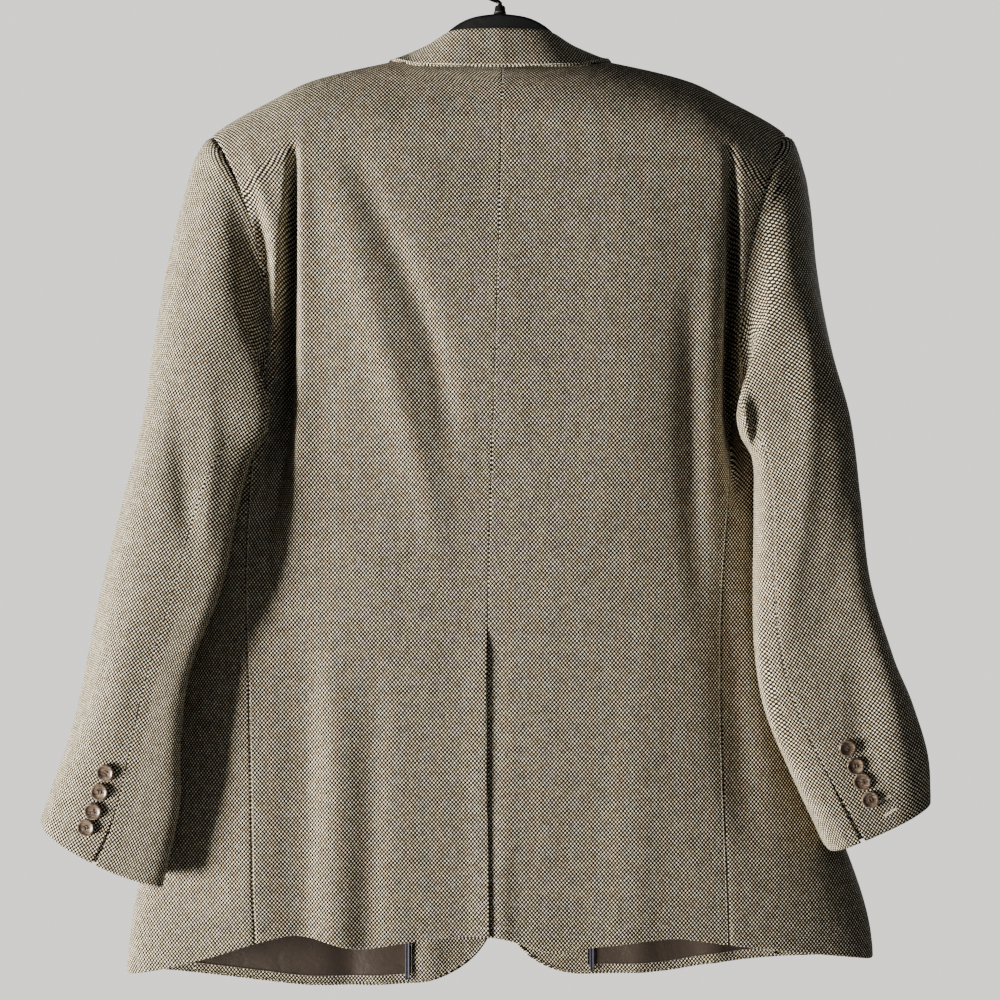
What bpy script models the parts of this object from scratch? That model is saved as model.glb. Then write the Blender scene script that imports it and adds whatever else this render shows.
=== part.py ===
"""Tweed hacking jacket on a black hanger.

World frame: metres, +Z up, origin at the inner top of the hanger's hook. The jacket's back faces +Y,
its fronts face -Y, and the wearer's left is +X. Every table is in millimetres; "drop" is the distance
below the hook.
"""
from collections import namedtuple
from math import acos, atan2, cos, degrees, exp, pi, radians, sin, sqrt

import bmesh
import bpy
from mathutils import Vector

MM = 0.001
LEFT, RIGHT = 1, -1
BACK, FRONT = 1, -1

CLOTH = 1.6          # tweed with its interlining
LINING = 0.8         # satin
SEAM = 0.2           # half of the gap at a seam
LAID = 0.4           # gap under a piece that lies on another

for item in list(bpy.data.objects):
    bpy.data.objects.remove(item, do_unlink=True)
jacket = bpy.data.collections.new("tweed_hacking_jacket")
bpy.context.scene.collection.children.link(jacket)


# ---------------------------------------------------------------- tables

def read(rows, at):
    """A row of a table at any key: a smooth curve through every column."""
    at = min(max(at, rows[0][0]), rows[-1][0])
    index = min(sum(row[0] <= at for row in rows), len(rows) - 1) - 1
    before, start = rows[max(index - 1, 0)], rows[index]
    end, after = rows[index + 1], rows[min(index + 2, len(rows) - 1)]
    span = end[0] - start[0]
    t = (at - start[0]) / span
    values = [at]
    for column in range(1, len(start)):
        leave = (end[column] - before[column]) / (end[0] - before[0]) * span
        arrive = (after[column] - start[column]) / (after[0] - start[0]) * span
        values.append((2 * t**3 - 3 * t**2 + 1) * start[column] + (t**3 - 2 * t**2 + t) * leave
                      + (3 * t**2 - 2 * t**3) * end[column] + (t**3 - t**2) * arrive)
    return type(start)(*values)


def mix(start, end, t):
    return start + (end - start) * t


def ease(start, end, at):
    t = min(max((at - start) / (end - start), 0), 1)
    return t * t * (3 - 2 * t)


# Level sections of the body: half widths, and the depth of the back, of the side line and of the front.
Section = namedtuple("Section", "drop left right back side front")
BODY = [
    Section(80, 290, 290, 62, -14, -62),
    Section(170, 285, 285, 64, -18, -68),
    Section(250, 250, 254, 67, -26, -74),
    Section(330, 232, 236, 66, -34, -78),
    Section(400, 227, 229, 62, -42, -80),
    Section(480, 249, 242, 56, -47, -78),
    Section(570, 271, 248, 51, -48, -72),
    Section(655, 292, 262, 47, -46, -66),
    Section(730, 304, 282, 44, -41, -60),
    Section(800, 318, 312, 41, -34, -54),
    Section(860, 329, 330, 38, -28, -48),
    Section(920, 334, 334, 36, -25, -45),
]
SQUARE = 2.3         # how square the sections are: 2 is an ellipse

# The shoulder line, from the middle of the neck out, and how far below it the cloth has rolled over.
Ridge = namedtuple("Ridge", "x drop")
SHOULDER = [
    Ridge(0, 88), Ridge(60, 93), Ridge(100, 99), Ridge(166, 115), Ridge(203, 133), Ridge(237, 151),
    Ridge(254, 163), Ridge(270, 176),
]
SHOULDER_ROLL = 70
NECK_HALF = 84       # from the middle to where the shoulder seam starts
NECK_DIP = 18        # the back neck below the shoulder line

# Where the back and the front end: at the armhole down to PITCH, and at the side seams below it.
Edge = namedtuple("Edge", "drop back_left back_right front_left front_right")
EDGES = [
    Edge(163, 254, 251, 254, 251),
    Edge(182, 242, 241, 240, 238),
    Edge(206, 229, 232, 222, 224),
    Edge(240, 215, 222, 208, 212),
    Edge(280, 206, 213, 200, 204),
    Edge(340, 200, 208, 198, 200),
    Edge(400, 208, 206, 200, 196),
    Edge(470, 218, 199, 202, 190),
    Edge(550, 221, 193, 204, 186),
    Edge(640, 217, 191, 204, 186),
    Edge(730, 215, 193, 202, 187),
    Edge(830, 213, 197, 200, 188),
    Edge(920, 209, 200, 198, 190),
]
ARMHOLE_TOP = 163
ARMHOLE_BOTTOM = 400
PITCH = 120          # degrees round the armhole from its top to the side seams
UNDERARM_BACK = 1.9  # how far back the armhole's lowest point lies on the side body
SIDE_INSET = 0.006   # share of a side body's width left free at each of its seams

# The centre back seam leans a little to the wearer's left; the vent opens at its foot.
Centre = namedtuple("Centre", "drop x")
CENTRE = [Centre(90, -3), Centre(300, 2), Centre(613, 11), Centre(870, 9)]
VENT_TOP = 613
VENT_UNDERLAP = 42
VENT_STEP = 1.5      # the lap lies this much out, and the underlap this much in

# How low the hem hangs, across the jacket from the wearer's right to the wearer's left.
Hem = namedtuple("Hem", "x back front")
HEM = [
    Hem(-340, 890, 890), Hem(-300, 882, 894), Hem(-250, 875, 897), Hem(-192, 867, 903), Hem(-150, 862, 910),
    Hem(-90, 868, 913), Hem(-42, 873, 914), Hem(0, 861, 916), Hem(47, 861, 919), Hem(87, 866, 922),
    Hem(120, 871, 924), Hem(176, 860, 923), Hem(210, 867, 919), Hem(250, 880, 914), Hem(300, 894, 908),
    Hem(340, 904, 904),
]

# Long soft folds in the back, on each side of the shoulder blades.
Fold = namedtuple("Fold", "x drop_top drop_bottom width depth")
FOLDS = [
    Fold(183, 175, 480, 9, -11),
    Fold(172, 190, 500, 8, 4),
    Fold(146, 150, 330, 14, 3),
    Fold(-203, 180, 455, 8, -7),
    Fold(-170, 300, 580, 16, -5),
]

# The fronts: where their inner edge runs, from the neck down the roll of the lapel to the closing edge.
Opening = namedtuple("Opening", "drop x")
OPENING = [
    Opening(90, 84), Opening(150, 66), Opening(300, 39), Opening(480, 7), Opening(520, 4), Opening(920, 4),
]
BREAK = 500          # where the lapel starts to roll
CORNER_WIDTH = 76    # the rounded front corner
CORNER_HEIGHT = 62


def ridge(x):
    return read(SHOULDER, abs(x)).drop


def half_width(side, drop):
    section = read(BODY, drop)
    return section.left if side == LEFT else section.right


def folds(x, drop):
    """Depth of the drape folds at a place on the back, fading out at each end."""
    total = 0
    for fold in FOLDS:
        if fold.drop_top < drop < fold.drop_bottom:
            along = sin(pi * (drop - fold.drop_top) / (fold.drop_bottom - fold.drop_top))
            total += fold.depth * sqrt(along) * exp(-((x - fold.x) / fold.width) ** 2)
    return total


def skin(side, turn, drop):
    """Outer face of the body at an angle round its level section: 90 back, 0 side, -90 front."""
    section = read(BODY, drop)
    x = side * half_width(side, drop) * max(cos(radians(turn)), 0) ** (2 / SQUARE)
    face = BACK if turn >= 0 else FRONT
    reach = (section.back if face == BACK else section.front) - section.side
    y = section.side + reach * abs(sin(radians(turn))) ** (2 / SQUARE)
    below = min(max((drop - ridge(x)) / SHOULDER_ROLL, 0), 1)
    y *= sqrt(1 - (1 - below) ** 2)
    if face == BACK:
        y += folds(x, drop)
    return Vector((x, y, -drop)) * MM


def turn_at(side, face, x, drop):
    """The angle round the section at which the body is this far from the middle."""
    share = min(max(side * x / half_width(side, drop), 0), 1)
    return face * (90 - degrees(atan2(share ** (SQUARE / 2), sqrt(max(1 - share ** SQUARE, 0)))))


def on_body(face, x, drop):
    """Outer face of the back or the front at a distance from the middle."""
    side = LEFT if x >= 0 else RIGHT
    return skin(side, turn_at(side, face, x, drop), drop)


def lifted(face, x, drop, out):
    """A point that lies out from the body's outer face, square to it."""
    step = 2
    across = on_body(face, x + step, drop) - on_body(face, x - step, drop)
    down = on_body(face, x, drop + step) - on_body(face, x, drop - step)
    normal = across.cross(down).normalized()
    if normal.y * face < 0:
        normal.negate()
    return on_body(face, x, drop) + normal * out * MM


def outside(point, gap):
    """The point, pushed out across the shoulder's roll where it is nearer to the cloth than the gap."""
    face = BACK if point.y > 0 else FRONT
    side = LEFT if point.x > 0 else RIGHT
    low = ridge(point.x) + SHOULDER_ROLL
    depth = abs(on_body(face, point.x, low).y) / MM
    above = max(low + point.z, 0)
    reach = sqrt((point.y / depth) ** 2 + (above / SHOULDER_ROLL) ** 2)
    least = 1 + gap * 2 / (depth + SHOULDER_ROLL)
    if reach >= least:
        return point
    return Vector((point.x, point.y * least / reach, above * least / reach - low if above else point.z))


def hem(face, x):
    row = read(HEM, x)
    return row.back if face == BACK else row.front


def edge(side, face, drop):
    """How far out the back or the front reaches at a height."""
    row = read(EDGES, drop)
    if face == BACK:
        return row.back_left if side == LEFT else row.back_right
    return row.front_left if side == LEFT else row.front_right


# ---------------------------------------------------------------- cloth

def material(name, colour, roughness, metallic=0.0):
    made = bpy.data.materials.new(name)
    made.use_nodes = True
    shader = made.node_tree.nodes["Principled BSDF"]
    shader.inputs["Base Color"].default_value = (*colour, 1)
    shader.inputs["Roughness"].default_value = roughness
    shader.inputs["Metallic"].default_value = metallic
    return made


def even(count):
    return [index / count for index in range(count + 1)]


def cloth(name, surface, across, down, thickness, finish, core=None):
    """A cloth wall: a grid laid over surface(s, t) and thickened inwards, away from its outer face."""
    mesh = bmesh.new()
    columns, rows = len(across) - 1, len(down) - 1
    bmesh.ops.create_grid(mesh, x_segments=columns, y_segments=rows, size=0.5)
    for vertex in mesh.verts:
        s = across[round((vertex.co.x + 0.5) * columns)]
        t = down[round((0.5 - vertex.co.y) * rows)]
        vertex.co = surface(s, t)
    mesh.normal_update()
    if core is None:
        core = Vector((0, -10, -500)) * MM
    facing = sum((face.calc_center_median() - core).dot(face.normal) for face in mesh.faces)
    if facing < 0:
        bmesh.ops.reverse_faces(mesh, faces=mesh.faces)
    return wall(name, mesh, thickness, finish)


def wall(name, mesh, thickness, finish):
    data = bpy.data.meshes.new(name)
    mesh.to_mesh(data)
    mesh.free()
    data.shade_smooth()
    made = bpy.data.objects.new(name, data)
    data.materials.append(finish)
    jacket.objects.link(made)
    solidify = made.modifiers.new("thickness", "SOLIDIFY")
    solidify.thickness = thickness * MM
    solidify.offset = -1
    solidify.use_even_offset = False
    return made


tweed = material("tweed", (0.18, 0.145, 0.105), 0.9)
satin = material("satin_lining", (0.06, 0.045, 0.03), 0.45)
horn = material("horn_button", (0.09, 0.05, 0.025), 0.35)
plastic = material("black_plastic", (0.01, 0.01, 0.01), 0.4)
wire = material("hook_wire", (0.55, 0.55, 0.56), 0.3, 1.0)


# ---------------------------------------------------------------- back

ROLL_SHARE = 0.24    # share of a panel's rows spent on the roll over the shoulder
HEM_DROP = 900
BLADE = {LEFT: 192, RIGHT: 183}    # beside the shoulder blades: the outermost straight column
BLADE_SHARE = 0.85


def panel_drop(x_top, dip, bottom, t):
    """Height of a row: evenly round the shoulder's roll first, then evenly down to the hem."""
    line = ridge(x_top)
    start = max(acos(1 - dip / SHOULDER_ROLL), SEAM / BODY[0].back)
    if t < ROLL_SHARE:
        return line + SHOULDER_ROLL * (1 - cos(mix(start, pi / 2, t / ROLL_SHARE)))
    return mix(line + SHOULDER_ROLL, bottom, (t - ROLL_SHARE) / (1 - ROLL_SHARE))


def on_shoulder(x_top, x, drop, t):
    """The height, kept at the same distance from the shoulder line where the row has moved in or out."""
    return drop + (ridge(x) - ridge(x_top)) * max(1 - t / ROLL_SHARE, 0)


def back_half(side):
    """Outer face of a back half: s from the centre seam to the armhole and side seam, t down."""
    def surface(s, t):
        x_top = back_x(side, s, ARMHOLE_TOP)
        dip = max(1 - (x_top / NECK_HALF) ** 2, 0) * NECK_DIP
        bottom = hem(BACK, back_x(side, s, HEM_DROP))
        drop = panel_drop(x_top, dip, bottom, t)
        x = back_x(side, s, drop)
        return lap(side, x, on_shoulder(x_top, x, drop, t))
    return surface


def back_x(side, s, drop):
    """How far out a column of the back lies: straight down as far as BLADE, then out to the edge."""
    inner = read(CENTRE, drop).x + side * SEAM
    blade = side * BLADE[side]
    outer = side * (edge(side, BACK, drop) - 3 * SEAM)
    if s < BLADE_SHARE:
        return mix(inner, blade, s / BLADE_SHARE)
    return mix(blade, outer, (s - BLADE_SHARE) / (1 - BLADE_SHARE))


def lap(side, x, drop):
    """The back near the vent: the wearer's left half lies over the right one."""
    near = 1 - ease(2, 22, abs(x - read(CENTRE, drop).x)) if side * (x - read(CENTRE, drop).x) > 0 else 1
    opened = ease(VENT_TOP - 25, VENT_TOP, drop)
    return on_body(BACK, x, drop) + Vector((0, side * VENT_STEP * near * opened, 0)) * MM


BACK_COLUMNS = [0, 0.13, 0.28, 0.43, 0.57, 0.67, 0.72, 0.75, 0.775, 0.8, 0.825, 0.85, 0.9, 0.95, 1]
ROLL_ROWS = [ROLL_SHARE * share for share in (0, 0.04, 0.25, 0.5, 0.75)]
BACK_ROWS = ROLL_ROWS + [mix(ROLL_SHARE, 1, share) for share in even(17)]

cloth("back_left", back_half(LEFT), BACK_COLUMNS, BACK_ROWS, CLOTH, tweed)
cloth("back_right", back_half(RIGHT), BACK_COLUMNS, BACK_ROWS, CLOTH, tweed)


def vent_underlap(s, t):
    """The wearer's right half goes on under the left one below the top of the vent."""
    centre = read(CENTRE, mix(VENT_TOP, HEM_DROP, t)).x
    x = mix(centre, centre + VENT_UNDERLAP, s)
    drop = mix(VENT_TOP, hem(BACK, x), mix(0.015, 0.995, t))
    return lap(RIGHT, x, drop) - Vector((0, CLOTH + LAID, 0)) * MM


cloth("back_vent_underlap", vent_underlap, even(3), even(8), CLOTH, tweed)


# ---------------------------------------------------------------- sides

def side_panel(side):
    """Outer face of a side body: s from the side-back seam round to the front seam, t down."""
    def surface(s, t):
        high = armhole_drop(mix(PITCH, 360 - PITCH, s ** (1 / UNDERARM_BACK)))
        low = side_turn(side, s, HEM_DROP)
        foot = skin(side, low, HEM_DROP).x / MM
        back_share = ease(-25, 25, low)
        bottom = mix(hem(FRONT, foot), hem(BACK, foot), back_share)
        drop = mix(high + 2 * SEAM, bottom, t)
        return skin(side, side_turn(side, mix(SIDE_INSET, 1 - SIDE_INSET, s), drop), drop)
    return surface


def armhole_drop(around):
    middle = (ARMHOLE_TOP + ARMHOLE_BOTTOM) / 2
    return middle - (ARMHOLE_BOTTOM - ARMHOLE_TOP) / 2 * cos(radians(around))


def side_turn(side, s, drop):
    start = turn_at(side, BACK, side * edge(side, BACK, drop), drop)
    end = turn_at(side, FRONT, side * edge(side, FRONT, drop), drop)
    return mix(start, end, s)


for side, name in ((LEFT, "side_left"), (RIGHT, "side_right")):
    cloth(name, side_panel(side), even(8), even(13), CLOTH, tweed)


# ---------------------------------------------------------------- fronts

def corner(side, x):
    """How much the rounded front corner lifts the hem."""
    share = min(max((CORNER_WIDTH - side * x) / (CORNER_WIDTH - 4), 0), 1)
    return CORNER_HEIGHT * (1 - sqrt(1 - share ** 2))


def front_half(side):
    """Outer face of a front: s from its closing edge to the armhole and side seam, t down."""
    def surface(s, t):
        spread = 1 - cos(s * pi / 2) if s < 1 else 1
        s = mix(s, spread, 0.5)
        tip = edge(side, FRONT, ARMHOLE_TOP) - 3 * SEAM
        x_top = side * mix(NECK_HALF, tip, s)
        x_bottom = side * mix(OPENING[-1].x, edge(side, FRONT, HEM_DROP), s)
        bottom = hem(FRONT, x_bottom) - corner(side, x_bottom)
        drop = panel_drop(x_top, 0, bottom, t)
        outer = edge(side, FRONT, drop) - 3 * SEAM
        x = side * mix(read(OPENING, drop).x, outer, s)
        return on_body(FRONT, x, on_shoulder(x_top, x, drop, t))
    return surface


FRONT_ROWS = ROLL_ROWS + [mix(ROLL_SHARE, 1, share) for share in even(15)]

for side, name in ((LEFT, "front_left"), (RIGHT, "front_right")):
    cloth(name, front_half(side), even(10), FRONT_ROWS, CLOTH, tweed)

# Lapels: from the roll line out to the edge, between the break and the gorge.
Lapel = namedtuple("Lapel", "t roll_drop edge_x edge_drop")
LAPEL = [
    Lapel(0, 168, 112, 226),
    Lapel(0.2, 205, 118, 248),
    Lapel(0.45, 285, 106, 312),
    Lapel(0.75, 400, 68, 410),
    Lapel(1, BREAK, 12, 496),
]
LAPEL_RISE = 3.2     # how far the lapel's roll stands off the front
LAPEL_GAP = 1.0      # under a lapel's edge


def lapel(side):
    """Outer face of a lapel: s from the roll line to the edge, t from the gorge down to the break."""
    def surface(s, t):
        row = read(LAPEL, t)
        x = mix(read(OPENING, row.roll_drop).x + 1, row.edge_x, s)
        drop = mix(row.roll_drop, row.edge_drop, s)
        rise = LAPEL_RISE * sin(pi * min(s * 1.4, 1)) * (1 - t)
        return lifted(FRONT, side * x, drop, CLOTH + LAPEL_GAP + rise)
    return surface


for side, name in ((LEFT, "lapel_left"), (RIGHT, "lapel_right")):
    cloth(name, lapel(side), even(5), even(10), CLOTH, tweed)


# ---------------------------------------------------------------- inside of the fronts

FACING = 1.0
FACING_WIDTH = 84
FACING_TOP = 510     # the facing starts at the break of the lapel
LINING_TOP = 700
LINING_RISE = 9      # the lining stops this far above the hem
LINING_LAP = 5       # and goes this far under the facing's edge
LINING_REACH = {LEFT: 276, RIGHT: 250}
TURN_UP = 34


def inside(side, x_in, x_out, top, above_hem, depth):
    """A layer against the inside of a front: s from the middle out, t down; without a top, the turn-up."""
    def surface(s, t):
        x = side * mix(x_in, x_out, s)
        bottom = hem(FRONT, x) - corner(side, x) - above_hem
        high = top or hem(FRONT, x) - TURN_UP
        return lifted(FRONT, x, mix(high, bottom, t), -depth)
    return surface


UNDER = CLOTH + LAID
for side, name in ((LEFT, "left"), (RIGHT, "right")):
    reach = LINING_REACH[side]
    cloth("facing_" + name, inside(side, 6, FACING_WIDTH, FACING_TOP, 2, UNDER),
          [0, 0.1, 0.22, 0.4, 0.7, 1], even(10), FACING, tweed)
    cloth("hem_turn_up_" + name, inside(side, FACING_WIDTH + 4 * SEAM, reach, None, 2, UNDER),
          even(8), even(2), FACING, tweed)
    cloth("lining_" + name, inside(side, FACING_WIDTH - LINING_LAP, reach, LINING_TOP, LINING_RISE,
                                   UNDER + FACING + LAID),
          even(9), even(5), LINING, satin)


# ---------------------------------------------------------------- pockets

# Pieces laid on a front; slant is how much lower the outer end lies, rise how far the lower edge stands off.
Patch = namedtuple("Patch", "side x_in x_out drop slant height rise")
PATCHES = {
    "flap_left": Patch(LEFT, 74, 196, 640, 22, 54, 0.8),
    "flap_right": Patch(RIGHT, 68, 182, 640, 22, 54, 0.8),
    "jetting_left": Patch(LEFT, 72, 198, 632, 22, 6, 0),
    "jetting_right": Patch(RIGHT, 66, 184, 632, 22, 6, 0),
    "breast_welt": Patch(LEFT, 110, 188, 322, -9, 24, 0),
}


def patch(piece):
    """Outer face of a patch: s from its inner end out, t down."""
    def surface(s, t):
        x = mix(piece.x_in, piece.x_out, s)
        drop = piece.drop + piece.slant * s + piece.height * t
        return lifted(FRONT, piece.side * x, drop, CLOTH + LAID + piece.rise * t)
    return surface


for name, piece in PATCHES.items():
    cloth(name, patch(piece), even(6), even(3 if piece.height > 10 else 1), CLOTH, tweed)


# ---------------------------------------------------------------- sleeves

# Rings of a sleeve: the outer and the inner side as seen from behind, and the ring's middle and half
# depth front to back, its twist towards the body, and how far it is drawn in at the armhole.
Ring = namedtuple("Ring", "along outer_x outer_drop inner_x inner_drop y depth twist hollow")
SLEEVES = {
    LEFT: [
        Ring(0.05, 272, 185, 233, 402, -18, 50, 0, 20),
        Ring(0.10, 281, 220, 233, 406, -11, 52, 4, 8),
        Ring(0.17, 293, 282, 229, 413, 0, 55, 10, 2),
        Ring(0.25, 303, 350, 221, 427, 12, 54, 14, 0),
        Ring(0.33, 312, 415, 223, 449, 19, 52, 14, 0),
        Ring(0.44, 327, 487, 233, 490, 25, 49, 13, 0),
        Ring(0.56, 344, 563, 248, 556, 25, 45, 12, 0),
        Ring(0.68, 359, 640, 270, 628, 20, 42, 10, 0),
        Ring(0.78, 372, 688, 279, 690, 18, 39, 8, 0),
        Ring(0.88, 390, 733, 283, 742, 16, 37, 6, 0),
        Ring(1.00, 402, 773, 297, 819, 14, 35, 4, 0),
    ],
    RIGHT: [
        Ring(0.05, 268, 185, 236, 402, -18, 50, 0, 18),
        Ring(0.10, 274, 220, 236, 406, -11, 52, 4, 8),
        Ring(0.17, 279, 285, 230, 413, 1, 53, 10, 2),
        Ring(0.25, 289, 350, 223, 427, 14, 51, 12, 0),
        Ring(0.33, 303, 412, 219, 447, 26, 47, 10, 0),
        Ring(0.44, 314, 480, 219, 488, 37, 44, 8, 0),
        Ring(0.56, 321, 552, 222, 550, 40, 40, 8, 0),
        Ring(0.68, 338, 615, 225, 615, 41, 38, 6, 0),
        Ring(0.78, 355, 655, 232, 665, 40, 37, 4, 0),
        Ring(0.88, 371, 700, 251, 712, 34, 36, 4, 0),
        Ring(1.00, 378, 749, 288, 790, 26, 34, 2, 0),
    ],
}
RING_SQUARE = 2.05

# Angles of the hind seam round each sleeve: 0 outside, 90 behind, 180 against the body.
Hind = namedtuple("Hind", "along left right")
HIND = [
    Hind(0, 120, 120), Hind(0.17, 126, 128), Hind(0.44, 104, 128), Hind(0.68, 97, 124), Hind(0.9, 94, 113),
    Hind(1, 92, 106),
]
FORE = -PITCH
SLIT = 0.89          # where the hind seam opens into the cuff slit
SLIT_HALF = 1.2      # half of the slit's width at the cuff
SLEEVE_SEAM = 0.4    # half of a sleeve seam's gap outside: the curved wall narrows it inside
SLEEVE_RADIUS = 48   # a middling one, which turns a width on the sleeve into an angle
HEAD_KEYS = (0, 0.007, 0.026)    # where the sleeve head's three rings lie along the sleeve
ARMHOLE_MIDDLE = Vector((215, -18, -280))
Knot = namedtuple("Knot", "along x y z")


def armhole(side, around):
    """A point of the armhole seam: 0 on the shoulder, 90 behind, 180 under the arm."""
    drop = armhole_drop(around)
    if around <= PITCH:
        return on_body(BACK, side * edge(side, BACK, drop), drop)
    if around >= 360 - PITCH:
        return on_body(FRONT, side * edge(side, FRONT, drop), drop)
    share = ((around - PITCH) / (360 - 2 * PITCH)) ** UNDERARM_BACK
    return skin(side, side_turn(side, share, drop), drop)


def sleeve_start(side, around):
    """The sleeve's first three rings: off the seam, up over the sleeve head's rope, and out."""
    around %= 360
    point = armhole(side, around)
    middle = Vector((side * ARMHOLE_MIDDLE.x, ARMHOLE_MIDDLE.y, ARMHOLE_MIDDLE.z)) * MM
    along_seam = (armhole(side, around + 4) - armhole(side, around - 4)).normalized() \
        if 4 < around < 356 else Vector((0, 1, 0))
    upper = 0.5 + 0.5 * cos(radians(around))
    spoke = point - middle
    spoke.x = side * mix(12, 90, upper ** 4) * MM
    normal = (spoke - along_seam * spoke.dot(along_seam)).normalized()
    away = along_seam.cross(normal) * side
    sideways = sin(radians(around)) ** 2
    return [point + away * 1.7 * MM,
            point + (away * mix(2.6, 3.0, upper) + normal * mix(mix(0.8, 1.8, upper), 2.6, sideways)) * MM,
            point + (away * mix(5.0, 9.0, upper) + normal * mix(mix(1.2, 2, upper), 4.0, sideways)) * MM]


def ring_point(side, ring, around):
    outer = Vector((side * ring.outer_x, ring.y, -ring.outer_drop))
    inner = Vector((side * ring.inner_x, ring.y, -ring.inner_drop))
    c, s = cos(radians(around)), sin(radians(around))
    lean = radians(ring.twist)
    behind = Vector((-side * sin(lean), cos(lean), 0))
    c = (1 if c > 0 else -1) * abs(c) ** (2 / RING_SQUARE)
    s = (1 if s > 0 else -1) * abs(s) ** (2 / RING_SQUARE)
    point = (outer + inner) / 2 + (outer - inner) / 2 * c + behind * ring.depth * s
    point.x -= side * ring.hollow * abs(s) ** 2
    return point * MM


def sleeve_point(side, around, along):
    """A point of the sleeve's outer face: a smooth curve through its rings."""
    start = sleeve_start(side, around)
    knots = [Knot(key, *point) for key, point in zip(HEAD_KEYS, start)]
    knots += [Knot(ring.along, *ring_point(side, ring, around)) for ring in SLEEVES[side]]
    found = read(knots, along)
    return Vector((found.x, found.y, found.z))


def hind(side, along):
    row = read(HIND, along)
    return row.left if side == LEFT else row.right


def seam_inset(along, slit):
    """Angle left free on each side of a sleeve seam, wider in the cuff slit."""
    opened = ease(SLIT, 1, along) * SLIT_HALF if slit else 0
    return degrees((SLEEVE_SEAM + opened) / SLEEVE_RADIUS)


def top_sleeve(side):
    def surface(s, t):
        first = FORE + seam_inset(t, False)
        last = hind(side, t) - seam_inset(t, True)
        return sleeve_point(side, mix(first, last, s), t)
    return surface


def under_sleeve(side):
    def surface(s, t):
        first = hind(side, t) + seam_inset(t, True)
        last = 360 + FORE - seam_inset(t, False)
        return sleeve_point(side, mix(first, last, s), t)
    return surface


TOP_COLUMNS = [0, 0.02] + [index / 10 for index in range(1, 10)] + [0.98, 1]
UNDER_COLUMNS = [0, 0.04] + [index / 6 for index in range(1, 6)] + [0.96, 1]
SLEEVE_ROWS = [*HEAD_KEYS, 0.05, 0.075, 0.1, 0.135, 0.17, 0.21, 0.25, 0.29, 0.33, 0.385, 0.44, 0.5, 0.56,
               0.62, 0.68, 0.73, 0.78, 0.83, 0.88, 0.94, 1]

for side, name in ((LEFT, "left"), (RIGHT, "right")):
    centre = Vector((side * 290, 10, -500)) * MM
    cloth("top_sleeve_" + name, top_sleeve(side), TOP_COLUMNS, SLEEVE_ROWS, CLOTH, tweed, centre)
    cloth("under_sleeve_" + name, under_sleeve(side), UNDER_COLUMNS, SLEEVE_ROWS, CLOTH, tweed, centre)


# ---------------------------------------------------------------- collar

# From the centre back round the neck to the notch: the stand's foot, the fold and the leaf's edge.
Collar = namedtuple("Collar", "v foot_x foot_y foot_drop fold_x fold_y fold_drop edge_x edge_y edge_drop")
COLLAR = [
    Collar(0, 0, 42, 105, 0, 47, 82, 0, 56, 114),
    Collar(0.25, 42, 34, 102, 38, 40, 82, 52, 51, 112),
    Collar(0.45, 76, 12, 97, 58, 18, 84, 90, 27, 105),
    Collar(0.6, 80, -8, 97, 64, -9, 87, 100, -8, 96),
    Collar(0.75, 72, -36, 110, 62, -38, 100, 104, -46, 118),
    Collar(1, 60, -66, 156, 55, -72, 150, 100, -80, 196),
]
FOLD_SIZE = 3.4      # half of the folded edge's thickness
COLLAR_GAP = 1.0     # under the leaf where it lies on the shoulders
STAND_SHARE = 0.3    # shares of the collar's width spent on the stand, and on the stand with its fold
FOLD_SHARE = 0.5
COLLAR_ACROSS = [0, 0.16, 0.3, 0.36, 0.44, 0.5, 0.66, 0.83, 1]


def collar(s, t):
    """Outer face of the collar: s round the neck from right to left, t up the stand and down the leaf."""
    v = 2 * s - 1
    side = LEFT if v >= 0 else RIGHT
    row = read(COLLAR, abs(v))
    foot = Vector((side * row.foot_x, row.foot_y, -row.foot_drop))
    fold = Vector((side * row.fold_x, row.fold_y, -row.fold_drop))
    leaf = Vector((side * row.edge_x, row.edge_y, -row.edge_drop))
    fall = (foot + leaf - fold * 2).normalized()
    outwards = leaf - foot
    outwards = (outwards - fall * outwards.dot(fall)).normalized()
    if t <= STAND_SHARE:
        return foot.lerp(fold - outwards * FOLD_SIZE, t / STAND_SHARE) * MM
    if t >= FOLD_SHARE:
        lying = (fold + outwards * FOLD_SIZE).lerp(leaf, (t - FOLD_SHARE) / (1 - FOLD_SHARE))
        return outside(lying, CLOTH + COLLAR_GAP) * MM
    swing = pi * (t - STAND_SHARE) / (FOLD_SHARE - STAND_SHARE)
    return (fold - (outwards * cos(swing) + fall * sin(swing)) * FOLD_SIZE) * MM


cloth("collar", collar, even(32), COLLAR_ACROSS, CLOTH, tweed, Vector((0, 0, -140)) * MM)


# ---------------------------------------------------------------- buttons

CUFF_BUTTON = 15
CUFF_BUTTON_HEIGHT = 3
CUFF_BUTTON_STEP = 16.7
CUFF_BUTTON_FIRST = 29    # from the cuff's edge to the lowest button
CUFF_BUTTON_INSET = 9.5   # from the slit to the buttons' middles
FRONT_BUTTON = 20
FRONT_BUTTON_HEIGHT = 4
FRONT_BUTTON_DROPS = (512, 612)
FRONT_BUTTON_X = -20
BUTTON_GAP = 0.7     # a button stands on its thread, clear of the curved cloth


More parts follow.
